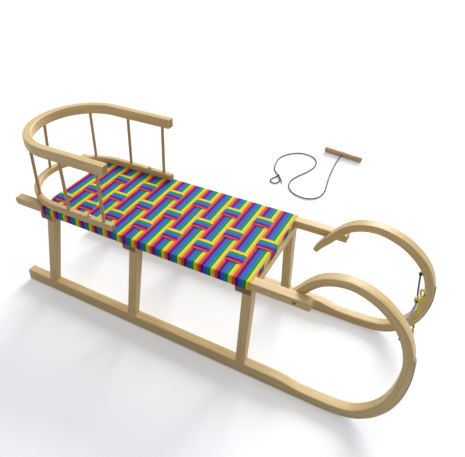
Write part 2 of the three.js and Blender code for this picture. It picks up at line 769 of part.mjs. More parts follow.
// Rope knot, end loop and tail in one piece
function ropeEndLoop() {
  const knot = new THREE.SphereGeometry(ropeKnotRadius, 12, 8);
  knot.scale(1, 1, ropeKnotFlatShare);
  knot.translate(ropeLoop[0][0], ropeLoop[0][1], ropeLift + ropeKnotRadius * ropeKnotLiftShare);
  return join([
    knot, tube(ropeLoop, ropeRadius, 8, 16), tube(ropeTail, ropeRadius, 8, 5),
  ]);
}

function pullHandle() {
  const half = handleLong / 2;
  const dowel = turned([
    [0, -half], [handleRadius - handleChamfer, -half], [handleRadius, -half + handleChamfer],
    [handleRadius, half - handleChamfer], [handleRadius - handleChamfer, half], [0, half],
  ], 24);
  dowel.rotateY(Math.PI / 2);
  const bore = roundRod([0, -handleRadius - overrun, 0], [0, handleRadius + overrun, 0],
    ropeRadius + 2 * seatGap);
  return cut(dowel, [bore]);
}

function handleKnot() {
  const knot = new THREE.SphereGeometry(ropeKnotRadius, 12, 8);
  return knot.scale(1, ropeKnotFlatShare, 1);
}

// The sled's own pieces
for (const [name, side] of Object.entries(sides)) {
  add(`runner_horn_${name}`, runner(name, side), paleWood());
  add(`steel_strip_${name}`, steelStrip(side), steel());
  add(`rail_${name}`, rail(side), paleWood());
  for (const place of places) add(`leg_${name}_${place}`, leg(place, side), paleWood());
  add(`rail_insert_${name}`, threadedInsert(side), brass());
  add(`horn_screw_${name}`, hornScrew(side), steel());
  add(`cable_eye_${name}`, cableEye(side), blackPlastic());
}
for (const place of places) add(`yoke_${place}`, yoke(place), paleWood());
add('crossbar_front', crossbar(crossbarX.front), paleWood());
add('crossbar_rear', crossbar(crossbarX.rear), paleWood());

for (let i = 0; i < crossStrapCount; i += 1) {
  const number = String(i + 1).padStart(2, '0');
  add(`strap_cross_${number}`, crossStrap(i), material(webbingColours[i % 2], 0.8));
}
for (const [name, y] of Object.entries(longStrapY)) {
  const middle = name === 'middle';
  add(`strap_long_${name}`, longStrap(y, middle), material(webbingColours[Number(middle)], 0.8));
}

// The backrest lifts off as one
add('lower_bow', lowerBow(), paleWood());
add('upper_bow', upperBow(), paleWood());
for (const spindle of spindleList()) add(spindle.name, spindleRod(spindle, spindleRadius, 0), dowelWood());
for (const [name, side] of Object.entries(sides)) {
  const bolt = add(`backrest_bolt_${name}`, backrestBolt(), steel());
  bolt.position.set(boltX, side * lowerSpindleY, 0);
}

// Cable and tether
add('link_cable', tube(cableRoute(), cableRadius, 8, 36), greyCable());
add('tether_hitch', tetherHitch(), yellowCord());
add('tether_cord', tetherCord(), yellowCord());

// Pull rope and handle
add('pull_rope', tube(ropeRun, ropeRadius, 8, 80), darkRope());
add('rope_end_loop', ropeEndLoop(), darkRope());
const handle = new THREE.Group();
handle.position.set(...handleCentre, handleRadius);
handle.rotation.z = handleAngle;
sled.add(handle);
const dowel = add('pull_handle', pullHandle(), handleWood());
const stopper = add('handle_knot', handleKnot(), darkRope());
stopper.position.y = handleRadius + ropeKnotRadius * ropeKnotFlatShare + seatGap;
handle.add(dowel, stopper);

export default sled;
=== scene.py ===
import math
from bisect import bisect_right

import bmesh
import bpy
from mathutils import Matrix, Vector


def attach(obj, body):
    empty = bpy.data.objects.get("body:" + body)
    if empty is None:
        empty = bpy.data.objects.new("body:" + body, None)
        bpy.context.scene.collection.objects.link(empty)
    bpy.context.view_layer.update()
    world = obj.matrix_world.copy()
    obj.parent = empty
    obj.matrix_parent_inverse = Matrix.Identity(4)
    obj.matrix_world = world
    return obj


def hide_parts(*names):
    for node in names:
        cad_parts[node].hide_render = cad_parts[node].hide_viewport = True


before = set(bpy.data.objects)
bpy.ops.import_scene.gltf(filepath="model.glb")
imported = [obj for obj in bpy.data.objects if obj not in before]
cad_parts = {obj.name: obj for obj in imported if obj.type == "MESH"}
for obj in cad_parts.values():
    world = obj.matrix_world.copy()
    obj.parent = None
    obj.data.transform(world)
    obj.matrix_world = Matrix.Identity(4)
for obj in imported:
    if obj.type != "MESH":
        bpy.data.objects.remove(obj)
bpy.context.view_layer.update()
scene = bpy.context.scene

# Sizes are real millimetres; MM turns them into the scene's metres
MM = 0.001
X_AXIS = Vector((1, 0, 0))
Y_AXIS = Vector((0, 1, 0))
Z_AXIS = Vector((0, 0, 1))

# Camera, from the photograph's frame of 465 x 457 pixels
PHOTO_WIDTH = 465
CAMERA_PLACE = (514.487, -945.451, 1093.223)
CAMERA_YAW = 30.8125
CAMERA_PITCH = 34.3941
CAMERA_ROLL = -1.1966
FOCAL_PIXELS = 508.566
CENTRE_SHIFT_PIXELS = (40.0, -20.616)
SENSOR_WIDE = 36.0
CAMERA_SEES_TO = 100

# How finely curves, corners and ends are made
ROUND_STEPS = 6
CURVE_PARTS = 24
HORN_STEPS = 240
END_ROUND_STEPS = 3
BEVEL_STEPS = 3
SHARP_ANGLE = 24
SECTION_SPARE = 0.01
LEAST_CORNER = 0.3

# Wood grain. A piece's number moves its grain by that many shifts in metres; GRAINS has the first ones
GRAIN_SHIFT = (1.7, 0.31, 0.13)
END_GRAIN_FACING = 0.9
GRAINS = {"handle": 3, "strip": 5, "runner": 11, "rail": 21, "leg": 31, "yoke": 41, "crossbar": 45,
          "bow": 51, "spindle": 61}

# Rails
SEAT_GAP = 0.3
RAIL_TOP_Z = 302
RAIL_TALL = 21.5
RAIL_WIDE = 27.5
RAIL_OUTER_Y = 151
RAIL_REAR_X = -552
RAIL_FRONT_X = 330
RAIL_FRONT_ROUND = 7
RAIL_REAR_CHAMFER = 7
WOOD_EDGE = 2.4
BORE_SPARE = 0.6
CUT_PAST = 5
CUT_SIDES = 32

# Runners and horns
RUNNER_REAR_X = -556
RUNNER_TALL = 36
RUNNER_WIDE = 28
RUNNER_OUTER_Y = 167
TAPER_LONG = 66
TAPER_END_AHEAD = 13
HORN_START_AHEAD = 58
HORN_REACH = 169.5
HORN_TOP_Z = 372.5
HORN_THICK = 25.5
HORN_TAIL_THICK = 18
HORN_TIP_START_SHARE = 0.92
HORN_TIP_THIN_SHARE = 0.78
HORN_TAIL_TRIM = {"left": 0, "right": 14}
HORN_CENTRE_SHARE = 0.07
HORN_BEND_START_ANGLE = -math.pi / 2
HORN_BEND_END_ANGLE = math.pi * 0.56
HORN_OUTER_SHARES = [
    (0, 0), (0.26, 0.01), (0.48, 0.036), (0.67, 0.097), (0.8, 0.168), (0.89, 0.244), (0.953, 0.334),
    (0.989, 0.43), (1, 0.53), (0.977, 0.625), (0.918, 0.713), (0.824, 0.795), (0.69, 0.867),
    (0.514, 0.932), (0.315, 0.976), (0.1, 1), (-0.12, 0.99), (-0.32, 0.95), (-0.47, 0.887),
    (-0.61, 0.801), (-0.71, 0.737), (-0.79, 0.672),
]
STRIP_THICK = 2.2
STRIP_WIDE = 22
STRIP_REAR_INSET = 6
STRIP_END_Z = 238
STRIP_NOSE_SHARE = 0.55
RUNNER_STEPS = 40
TAPER_STEPS = 24
LEVEL_STEPS = 6
STRIP_STEPS = 60
RUNNER_BAR = {"step": 4.5, "corner": 3.2, "edge": 2.6}
STRIP_BAR = {"step": 4.5, "corner": 0.8, "edge": 0.5, "corner_steps": 2}

# Yokes, legs and crossbars
YOKE_TALL = 22
YOKE_DEEP = 43
YOKE_END_INSET = 1
YOKE_ROUND = 7
LEG_FOOT = (24.5, 24)
LEG_TOP = (25.5, 30)
LEG_TOP_INSET = 6
LEG_FOOT_X = {"rear": -454, "middle": -159.5, "front": 177.5}
LEG_TOP_X = {"rear": -430.5, "middle": -145, "front": 179.5}
LEG_BAR = {"step": 12, "corner": 3, "edge": 0.6}
CROSSBAR_DEEP = 18
CROSSBAR_EDGE = 2

# Webbing. RIBBON_SHARES pairs a share of the half width with the share of the thickness there
SEAT_FRONT_X = 189
SEAT_REAR_X = -451
CROSS_STRAPS = 14
WEB_THICK = 1.4
WEB_WIDE = 45
LONG_STRAP_Y = {"left": 75.5, "middle": -7, "right": -84}
FLAP_UNDER = 9
LONG_STRAP_UNDER = 12
CROSS_STRAP_SPARE = 0.35
CROSS_STRAP_ROUND = 2.6
CROSS_STRAP_STEP = 2.2
LONG_STRAP_SPARE = 2.5
LONG_STRAP_ROUND = 2.4
LONG_STRAP_STEP = 1.5
STRAIGHT_ENOUGH = 0.01
CORNER_CUT_SHARE = 0.49
CORNER_STEPS = 8
WEB_DIP = 0.16
WEB_DIP_SHARE = 0.62
WEB_EASE_SHARE = 0.16
WEB_FACE_MARK = 0.01
HOLE_PAST = 3
RIBBON_SHARES = [
    (-1, 0.25), (-0.985, 0.7), (-0.94, 0.95), (-0.7, 1), (-0.35, 1), (0, 1), (0.35, 1), (0.7, 1),
    (0.94, 0.95), (0.985, 0.7), (1, 0.25),
]

# Backrest
BOW_FRONT_X = -202
BOW_ARC_X = -400
LOWER_BOW = {"outer": 152, "wide": 17, "rear": -562, "tall": 19.5}
UPPER_BOW = {"outer": 159, "wide": 23, "rear": -552, "tall": 28}
UPPER_BOW_TOP_Z = 500.5
SPINDLE_RADIUS = 4.5
SPINDLE_X = {"front": -231.5, "middle": -351.5, "rear_corner": -475}
SPINDLE_BITE = 6
BOW_ARM_STEPS = 40
BOW_ARC_STEPS = 120
BOW_BAR = {"step": 4.5, "corner": 3.2, "edge": 2.4}
SPINDLE_BAR = {"step": 10, "corner": SPINDLE_RADIUS, "edge": 0.4, "corner_steps": 6}

# Bolts, inserts and screws. The crown pairs a share of the head's radius with a height
BOLT_X = -282
BOLT_RADIUS = 3
BOLT_HEAD_RADIUS = 6.5
BOLT_HEAD_TALL = 3.6
BOLT_RIM_TALL = 0.9
BOLT_RIM_ROUND = 0.3
BOLT_DOME_POWER = 0.8
BOLT_DOME_STEPS = 7
BOLT_POINT = 0.6
BOLT_POINT_LONG = 0.8
BOLT_SIDES = 48
THREAD_START = 1.2
THREAD_BELOW = 12
THREAD_PITCH = 1
THREAD_DEEP = 0.4
SOCKET_RADIUS = 2.3
SOCKET_DEEP = 2.1
SOCKET_PAST = 1
INSERT_RADIUS = 4.6
INSERT_LONG = 15
HORN_SCREW_INSET = 37
HORN_SCREW_HEAD_RADIUS = 4.8
HORN_SCREW_RECESS = 4.5
SCREW_SHANK = [(0, -20), (1.6, -19), (2.4, -16), (2.4, 0)]
SCREW_CROWN_SHARES = [(1, 0.2), (1, 1.2), (0.92, 1.9), (0.7, 2.5), (0.35, 2.85), (0, 2.9)]
SCREW_SIDES = 40
SLOT_TURN = 0.4
SLOT_REACH = 2.6
SLOT_HIGH = 2.4
SLOT_RADIUS = 0.75
SLOT_SIDES = 12

# Cable, its eyes and the tether. The lip pairs a share of the radius with a depth from the mouth
CABLE_EYE_SHARE = 0.5
CABLE_SAG = 10.7
CABLE_FORWARD = 8.6
CABLE_RADIUS = 2.2
CABLE_BITE = 6
CABLE_SLACK_SHARES = (0.9, 0.75, 0.5, 0.25)
CABLE_RELIEF_SHARE = 0.05
CABLE_LEVEL_SHARE = 0.6
CABLE_WIRE_LAY = 22
CABLE_STEPS = 320
CABLE_SIDES = 18
EYE_RADIUS = 4.2
EYE_LONG = 9
EYE_SIDE_SHIFT = 6.5
EYE_SHANK_RADIUS = 2
EYE_SHANK_LONG = 12
EYE_SHANK_BITE = 0.8
EYE_BACK_SHARE = 0.5
EYE_LIP_SHARES = [(1, 1.6), (1.06, 1.2), (1.06, 0.5), (0.9, 0)]
HITCH_WIDE = 14
HITCH_Y = 30
TETHER_DIAMETER = 5.4
TETHER_ROUTE = [
    (533, 28, 254.5), (535, 27, 263.5), (536.2, 27, 272.5), (535.8, 28.5, 280.5), (532.4, 31, 286.5),
    (528, 33.5, 286), (526, 36, 279), (527.2, 38, 270), (530.2, 39.4, 261), (531.8, 39.8, 250),
    (532, 38.8, 238), (532, 37.6, 225), (532.2, 36.4, 211), (532.8, 35.2, 197), (533.4, 34, 183),
    (534.2, 33, 168), (535, 32, 153),
]

# Pull rope, laid out on the floor behind the sled
ROPE_DIAMETER = 5
HANDLE_RADIUS = 12
HANDLE_LONG = 168
HANDLE_CENTRE = (78, 1089)
HANDLE_ANGLE = -0.166
HANDLE_BAR = {"step": 4, "corner": HANDLE_RADIUS, "edge": 2.2, "corner_steps": 12}
ROPE_RUN = [
    (-108, 803, 3.6), (-126, 820, 2.8), (-143, 845, 2.8), (-156, 889, 2.8), (-160, 942, 2.8),
    (-145, 984, 2.8), (-114, 1018, 2.8), (-86, 1030, 2.8), (-55, 1028, 2.8), (-28, 1014, 2.8),
    (-9, 989, 2.8), (0, 948, 2.8), (-7, 903, 2.8), (-20, 867, 2.8), (-35, 832, 2.8), (-46, 793, 2.8),
    (-44, 758, 2.8), (-34, 732, 2.8), (-15, 709, 2.8), (8, 695, 2.8), (32, 689, 2.8), (58, 691, 2.8),
    (79, 704, 2.8), (93, 725, 2.8), (99, 753, 2.8), (98, 785, 2.8), (90, 831, 2.8), (82, 880, 2.8),
    (76, 935, 2.8), (71, 990, 2.9), (70, 1024, 4.6), (71.6, 1048, 9.8), (74, 1065.4, 12),
    (76, 1077.3, 12), (80, 1101, 12),
]
ROPE_LOOP = [
    (-108, 795, 4.4), (-114, 783, 2.8), (-122, 764, 2.8), (-121, 747, 2.8), (-108, 737, 2.8),
    (-93, 740, 2.8), (-87, 755, 2.8), (-92, 776, 2.8), (-104, 794, 4.4),
]
ROPE_TAIL = [(-104, 795, 4.4), (-92, 783, 2.9), (-81, 767, 2.8), (-75, 752, 2.8)]

# Places that follow from the sizes above
WOOD_BOTTOM_Z = STRIP_THICK + SEAT_GAP
RUNNER_TOP_Z = WOOD_BOTTOM_Z + RUNNER_TALL
RUNNER_MID_Y = RUNNER_OUTER_Y - RUNNER_WIDE / 2
TAPER_END_X = RAIL_FRONT_X + TAPER_END_AHEAD
TAPER_START_X = TAPER_END_X - TAPER_LONG
HORN_START_X = RAIL_FRONT_X + HORN_START_AHEAD
HORN_FRONT_X = HORN_START_X + HORN_REACH
RAIL_INNER_Y = RAIL_OUTER_Y - RAIL_WIDE
RAIL_MID_Y = RAIL_OUTER_Y - RAIL_WIDE / 2
LEG_TOP_Y = RAIL_MID_Y - LEG_TOP_INSET
RAIL_BOTTOM_Z = RAIL_TOP_Z - RAIL_TALL
HORN_INWARD = RUNNER_MID_Y - (RAIL_INNER_Y - SEAT_GAP - RUNNER_WIDE / 2)
HORN_CENTRE_X = HORN_START_X + HORN_REACH * HORN_CENTRE_SHARE
HORN_CENTRE_Z = HORN_TOP_Z / 2
YOKE_TOP_Z = RAIL_BOTTOM_Z - SEAT_GAP
YOKE_BOTTOM_Z = YOKE_TOP_Z - YOKE_TALL
LEG_TOP_Z = YOKE_BOTTOM_Z - SEAT_GAP
LEG_FOOT_Z = RUNNER_TOP_Z + SEAT_GAP
WEB_BOTTOM_Z = RAIL_TOP_Z + SEAT_GAP
WEB_MID_Z = WEB_BOTTOM_Z + WEB_THICK / 2
WEB_TOP_Z = WEB_BOTTOM_Z + WEB_THICK
WEB_STEP = WEB_THICK + SEAT_GAP
STRAP_PITCH = (SEAT_FRONT_X - SEAT_REAR_X) / CROSS_STRAPS
CROSSBAR_TOP_Z = WEB_BOTTOM_Z - WEB_STEP - SEAT_GAP
CROSSBAR_TALL = CROSSBAR_TOP_Z - YOKE_TOP_Z - WEB_STEP - SEAT_GAP
CROSSBAR_X = {
    "front": SEAT_FRONT_X - WEB_STEP - CROSSBAR_DEEP / 2,
    "rear": SEAT_REAR_X + WEB_STEP + CROSSBAR_DEEP / 2,
}
LOWER_BOW_Z = WEB_TOP_Z + SEAT_GAP
LOWER_BOW_TOP_Z = LOWER_BOW_Z + LOWER_BOW["tall"]
UPPER_BOW_Z = UPPER_BOW_TOP_Z - UPPER_BOW["tall"]
BOLT_Y = LOWER_BOW["outer"] - LOWER_BOW["wide"] / 2
HORN_SCREW_X = RAIL_FRONT_X - HORN_SCREW_INSET
SIDES = {"left": 1, "right": -1}
PLACES = ("front", "middle", "rear")

# Objects and the camera
def add_object(name, data):
    made = bpy.data.objects.new(name, data)
    scene.collection.objects.link(made)
    return made


def make_camera():
    data = bpy.data.cameras.new("camera")
    data.sensor_fit = "HORIZONTAL"
    data.sensor_width = SENSOR_WIDE
    data.lens = FOCAL_PIXELS * SENSOR_WIDE / PHOTO_WIDTH
    data.shift_x = CENTRE_SHIFT_PIXELS[0] / PHOTO_WIDTH
    data.shift_y = CENTRE_SHIFT_PIXELS[1] / PHOTO_WIDTH
    data.clip_end = CAMERA_SEES_TO
    turn = Matrix.Rotation(math.radians(CAMERA_YAW), 4, "Z")
    tilt = Matrix.Rotation(math.radians(90 - CAMERA_PITCH), 4, "X")
    roll = Matrix.Rotation(math.radians(CAMERA_ROLL), 4, "Z")
    scene.camera = add_object("camera", data)
    scene.camera.matrix_world = Matrix.Translation(Vector(CAMERA_PLACE) * MM) @ turn @ tilt @ roll


make_camera()


# Lines and curves
def lerp(a, b, share):
    return a + (b - a) * share


def stops(start, end, steps):
    """Even stops from start to end, with both."""
    return [lerp(start, end, i / steps) for i in range(steps + 1)]


def smooth(share):
    t = min(max(share, 0), 1)
    return t * t * (3 - 2 * t)


def on_circle(radius, angle):
    return radius * math.cos(angle), radius * math.sin(angle)


def ring_angles(sides):
    return [2 * math.pi * k / sides for k in range(sides)]


def arc_points(middle, radius, start, end, steps=ROUND_STEPS):
    """Points on an arc, whose ends are given in degrees."""
    places = [on_circle(radius, math.radians(angle)) for angle in stops(start, end, steps)]
    return [(middle[0] + x, middle[1] + y) for x, y in places]


def curve_line(points, first, last):
    """A dense smooth line through the points. first and last lead it in and out."""
    led = [first, *points, last]
    line = []
    for before, start, end, after in zip(led, led[1:], led[2:], led[3:]):
        for k in range(CURVE_PARTS):
            t = k / CURVE_PARTS
            line.append(0.5 * (2 * start + (end - before) * t
                               + (2 * before - 5 * start + 4 * end - after) * t * t
                               + (3 * start - before - 3 * end + after) * t * t * t))
    return line + [points[-1]]


def through_points(points, count):
    """Even steps along a smooth line through the points."""
    line = [Vector(p) for p in points]
    return even_steps(curve_line(line, line[0] * 2 - line[1], line[-1] * 2 - line[-2]), count)


def reach_along(line):
    """How far each point of a line is from its start, along it."""
    reach = [0]
    for a, b in zip(line, line[1:]):
        reach.append(reach[-1] + (b - a).length)
    return reach


def even_steps(line, count):
    """The same line with evenly spaced points."""
    reach = reach_along(line)
    made = []
    k = 0
    for want in stops(0, reach[-1], count):
        while k < len(line) - 2 and reach[k + 1] < want:
            k += 1
        span = reach[k + 1] - reach[k]
        made.append(line[k].lerp(line[k + 1], (want - reach[k]) / span if span else 0))
    return made


def line_length(line):
    return sum((b - a).length for a, b in zip(line, line[1:]))


def tangents_of(line):
    last = len(line) - 1
    return [(line[min(i + 1, last)] - line[max(i - 1, 0)]).normalized() for i in range(len(line))]


def frames_along(line):
    """A pair of unit vectors across the line at each point, carried along without twisting."""
    made = []
    tangents = tangents_of(line)
    across = tangents[0].orthogonal().normalized()
    for tangent in tangents:
        across = (across - tangent * across.dot(tangent)).normalized()
        made.append((across, tangent.cross(across)))
    return made


# Meshes
def write_marks(mesh, key, values):
    """Stores a vector for each point, which the materials read."""
    layer = mesh.attributes.new(key, "FLOAT_VECTOR", "POINT")
    layer.data.foreach_set("vector", [c for value in values for c in value])


def add_mesh(name, mesh):
    for polygon in mesh.polygons:
        polygon.use_smooth = True
    return add_object(name, mesh)


def new_mesh(name, verts, faces, key=None, marks=(), cap_faces=()):
    """An object from points in millimetres, with a vector called key for each point."""
    mesh = bpy.data.meshes.new(name)
    mesh.from_pydata([tuple(Vector(v) * MM) for v in verts], [], faces)
    if key:
        write_marks(mesh, key, marks)
    made = add_mesh(name, mesh)
    for index in cap_faces:
        mesh.polygons[index].material_index = 1
    return made


def settle(made, materials, body, slot, *nodes, crisp=True):
    """Gives a piece its materials and body, and hides the imported nodes that it stands for; slot is not
    used.
    """
    for material in materials if isinstance(materials, list) else [materials]:
        made.data.materials.append(material)
    if crisp:
        modifier = made.modifiers.new("crisp", "WEIGHTED_NORMAL")
        modifier.keep_sharp = True
    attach(made, body)
    if nodes:
        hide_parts(*nodes)
    return made


def round_section(half_wide, half_tall, radius, steps):
    """Outline of a bar's section with round corners, anticlockwise."""
    points = []
    for corner, (sx, sy) in enumerate(((1, 1), (-1, 1), (-1, -1), (1, -1))):
        middle = (sx * (half_wide - radius), sy * (half_tall - radius))
        points += arc_points(middle, radius, 90 * corner, 90 * (corner + 1), steps)
    return points


def ring_faces(rings, around):
    faces = []
    for i in range(rings - 1):
        for k in range(around):
            after = (k + 1) % around
            faces.append((i * around + k, i * around + after,
                          (i + 1) * around + after, (i + 1) * around + k))
    return faces


def end_faces(rings, around):
    last = (rings - 1) * around
    return [tuple(reversed(range(around))), tuple(last + k for k in range(around))]


def grain_mark(place, grain):
    """The wood's own coordinates in metres, moved so that no two pieces show the same grain."""
    return [value + grain * shift for value, shift in zip(place, GRAIN_SHIFT)]


def swept_bar(name, at, length, grain, step, corner, edge, corner_steps=4, bend=None):
    """A bar along a line, with round edges and ends.

    at(far) gives the middle, the two directions across and the half sizes there.
    """
    nose = [(edge * (1 - math.cos(angle)), edge * (1 - math.sin(angle)))
            for angle in stops(0, math.pi / 2, END_ROUND_STEPS)]
    count = max(2, round((length - 2 * edge) / step))
    inner = [(far, 0) for far in stops(edge, length - edge, count)[1:-1]]
    tail = [(length - far, inset) for far, inset in reversed(nose)]
    stations = nose + inner + tail
    verts, wood = [], []
    for far, inset in stations:
        middle, right, up, half_wide, half_tall = at(far)
        radius = min(corner, half_wide - SECTION_SPARE, half_tall - SECTION_SPARE)
        radius = max(radius - inset, LEAST_CORNER)
        for a, b in round_section(half_wide - inset, half_tall - inset, radius, corner_steps):
            point = middle + right * a + up * b
            verts.append(bend(point) if bend else point)
            wood.append(grain_mark((far * MM, a * MM, b * MM), grain))
    around = 4 * (corner_steps + 1)
    faces = ring_faces(len(stations), around)
    caps = (len(faces), len(faces) + 1)
    return new_mesh(name, verts, faces + end_faces(len(stations), around), "wood", wood, caps)


def between(start, end, right, up, sizes_start, sizes_end):
    """A straight bar's place function for swept_bar, with its length."""
    start, end = Vector(start), Vector(end)

    def at(far):
        share = far / (end - start).length
        half = [lerp(a, b, share) / 2 for a, b in zip(sizes_start, sizes_end)]
        return start.lerp(end, share), Vector(right), Vector(up), half[0], half[1]

    return at, (end - start).length


def prism(name, outline, axis, middle, wide, edge):
    """A board of this outline and width, with all its edges rounded."""
    turn = {"X": lambda a, b, c: (c, a, b), "Y": lambda a, b, c: (a, c, b)}[axis]
    sheet = bmesh.new()
    low = [sheet.verts.new(turn(a, b, middle - wide / 2)) for a, b in outline]
    high = [sheet.verts.new(turn(a, b, middle + wide / 2)) for a, b in outline]
    sheet.faces.new(low)
    sheet.faces.new(list(reversed(high)))
    for i in range(len(outline)):
        k = (i + 1) % len(outline)
        sheet.faces.new((low[k], low[i], high[i], high[k]))
    bmesh.ops.recalc_face_normals(sheet, faces=sheet.faces)
    sharp = [e for e in sheet.edges if e.calc_face_angle(0) > math.radians(SHARP_ANGLE)]
    bmesh.ops.bevel(sheet, geom=sharp, offset=edge, segments=BEVEL_STEPS, profile=0.5, affect="EDGES")
    for v in sheet.verts:
        v.co *= MM
    mesh = bpy.data.meshes.new(name)
    sheet.to_mesh(mesh)
    sheet.free()
    return add_mesh(name, mesh)


def straight_grain(made, along, grain):
    """Writes the wood's own coordinates on a straight piece whose grain runs along an axis."""
    order = {"X": (0, 1, 2), "Y": (1, 0, 2)}[along]
    write_marks(made.data, "wood", [grain_mark([v.co[i] for i in order], grain) for v in made.data.vertices])
    for polygon in made.data.polygons:
        if abs(polygon.normal[order[0]]) > END_GRAIN_FACING:
            polygon.material_index = 1
    return made


def rod(name, start, end, radius, sides=24):
    """A plain cylinder, mostly used as a cutting tool."""
    ends = [Vector(start), Vector(end)]
    across, other = frames_along(ends)[0]
    verts = []
    for place in ends:
        for x, y in (on_circle(1, angle) for angle in ring_angles(sides)):
            verts.append(place + (across * x + other * y) * radius)
    return new_mesh(name, verts, ring_faces(2, sides) + end_faces(2, sides))


def drill(made, tools):
    """Cuts the tools out of a piece, and removes them."""
    for tool in tools:
        cut = made.modifiers.new("cut", "BOOLEAN")
        cut.operation = "DIFFERENCE"
        cut.solver = "EXACT"
        cut.object = tool
        bpy.context.view_layer.update()
        with bpy.context.temp_override(object=made, active_object=made):
            bpy.ops.object.modifier_apply(modifier=cut.name)
        bpy.data.objects.remove(tool)
    return made


def turned(name, profile, sides, place, turn=Matrix.Identity(3)):
    """A piece of revolution about Z from pairs of radius and height, from axis to axis."""
    inner = profile[1:-1]
    verts = [Vector((0, 0, profile[0][1]))]
    for radius, height in inner:
        verts += [Vector((*on_circle(radius, angle), height)) for angle in ring_angles(sides)]
    verts.append(Vector((0, 0, profile[-1][1])))
    top = len(verts) - 1
    last = top - sides
    faces = [(0, 1 + (k + 1) % sides, 1 + k) for k in range(sides)]
    faces += [tuple(1 + v for v in face) for face in ring_faces(len(inner), sides)]
    faces += [(last + k, last + (k + 1) % sides, top) for k in range(sides)]
    matrix = Matrix.Translation(Vector(place)) @ turn.to_4x4()
    return new_mesh(name, [matrix @ v for v in verts], faces)


# Shader nodes
def srgb(*channels):
    """A colour written in 0 to 255, as Blender's linear colour."""
    shares = [value / 255 for value in channels]
    return (*(v / 12.92 if v <= 0.04045 else ((v + 0.055) / 1.055) ** 2.4 for v in shares), 1)


class Nodes:
    """A node tree under construction, with short calls for the nodes that it uses."""

    def __init__(self, tree):
        self.tree = tree

    def node(self, kind, **settings):
        made = self.tree.nodes.new(kind)
        for key, value in settings.items():
            setattr(made, key, value)
        return made

    def feed(self, socket, value):
        if isinstance(value, bpy.types.NodeSocket):
            self.tree.links.new(value, socket)
        else:
            socket.default_value = value

    def fill(self, made, values, result=0):
        """Feeds a node's first sockets in turn, and gives one of its results."""
        for socket, value in zip(made.inputs, values):
            self.feed(socket, value)
        return made.outputs[result]

    def attribute(self, name):
        return self.node("ShaderNodeAttribute", attribute_name=name).outputs["Vector"]

    def object_place(self):
        return self.node("ShaderNodeTexCoord").outputs["Object"]

    def parts(self, vector):
        split = self.node("ShaderNodeSeparateXYZ")
        self.feed(split.inputs[0], vector)
        return split.outputs[:3]

    def join(self, x, y, z=0.0):
        return self.fill(self.node("ShaderNodeCombineXYZ"), (x, y, z))

    def calc(self, operation, a, b=0.0, clamp=False):
        return self.fill(self.node("ShaderNodeMath", operation=operation, use_clamp=clamp), (a, b))

    def times(self, a, b):
        return self.calc("MULTIPLY", a, b)

    def plus(self, a, b, clamp=False):
        return self.calc("ADD", a, b, clamp)

    def minus(self, a, b):
        return self.calc("SUBTRACT", a, b)

    def floor(self, value):
        return self.calc("FLOOR", value)

    def wave(self, value, turns=1):
        """Even humps from 0 to 1, this many to each 1 of the value."""
        return self.calc("ABSOLUTE", self.calc("SINE", self.times(value, turns * math.pi)))

    def noise(self, vector, factors, detail=2.0, roughness=0.5):
        stretched = self.fill(self.node("ShaderNodeVectorMath", operation="MULTIPLY"), (vector, factors))
        made = self.node("ShaderNodeTexNoise")
        self.feed(made.inputs["Vector"], stretched)
        made.inputs["Scale"].default_value = 1
        made.inputs["Detail"].default_value = detail
        made.inputs["Roughness"].default_value = roughness
        return made.outputs["Fac"]

    def chance(self, cell):
        """A fixed random value for each cell."""
        made = self.node("ShaderNodeTexWhiteNoise", noise_dimensions="3D")
        self.feed(made.inputs["Vector"], cell)
        return made.outputs["Value"]

    def ramp(self, factor, colours, interpolation="LINEAR"):
        made = self.node("ShaderNodeValToRGB")
        made.color_ramp.interpolation = interpolation
        elements = made.color_ramp.elements
        while len(elements) < len(colours):
            elements.new(0.5)
        for element, (place, colour) in zip(elements, colours):
            element.position = place
            element.color = colour
        return self.fill(made, (factor,))

    def mix(self, factor, a, b, blend="MIX"):
        made = self.node("ShaderNodeMix", data_type="RGBA", blend_type=blend)
        for index, value in ((0, factor), (6, a), (7, b)):
            self.feed(made.inputs[index], value)
        return made.outputs[2]

    def shaded(self, colour, shade):
        return self.mix(1.0, colour, self.join(shade, shade, shade), "MULTIPLY")

    def range(self, value, low, high, to_low, to_high):
        return self.fill(self.node("ShaderNodeMapRange"), (value, low, high, to_low, to_high))

    def seen_directly(self):
        """1 for the rays that show a surface to the camera, also through or off another one."""
        rays = self.node("ShaderNodeLightPath").outputs
        seen = self.calc("MAXIMUM", rays["Is Camera Ray"], rays["Is Glossy Ray"])
        return self.calc("MAXIMUM", seen, rays["Is Transmission Ray"])


class Shader(Nodes):
    """A material's nodes. The values go to the sockets of its surface."""

    def __init__(self, name, **values):
        self.material = bpy.data.materials.new(name)
        self.material.use_nodes = True
        super().__init__(self.material.node_tree)
        self.surface = self.tree.nodes["Principled BSDF"]
        for key, value in values.items():
            self.surface.inputs[key.replace("_", " ").title().replace("Ior", "IOR")].default_value = value

    def finish(self, colour, roughness, height, bump, distance):
        self.feed(self.surface.inputs["Base Color"], colour)
        self.feed(self.surface.inputs["Roughness"], roughness)
        made = self.node("ShaderNodeBump")
        made.inputs["Strength"].default_value = bump
        made.inputs["Distance"].default_value = distance
        self.feed(made.inputs["Height"], height)
        self.feed(self.surface.inputs["Normal"], made.outputs[0])
        return self.material


# Wood. The triples say how fine a noise is along the grain and across it, for each metre
RING_PITCH = 0.0024
RING_SLANT = 0.42
RING_WANDER = 0.009
RING_DRIFT = (2.2, 18, 18)
BOARD_TONES = (1.1, 7, 7)
STREAKS = (9, 210, 210)
FIBRES = (55, 2100, 2100)
GRAIN_FLECKS = (170, 1500, 1500)
PORES = (900, 2600, 2600)


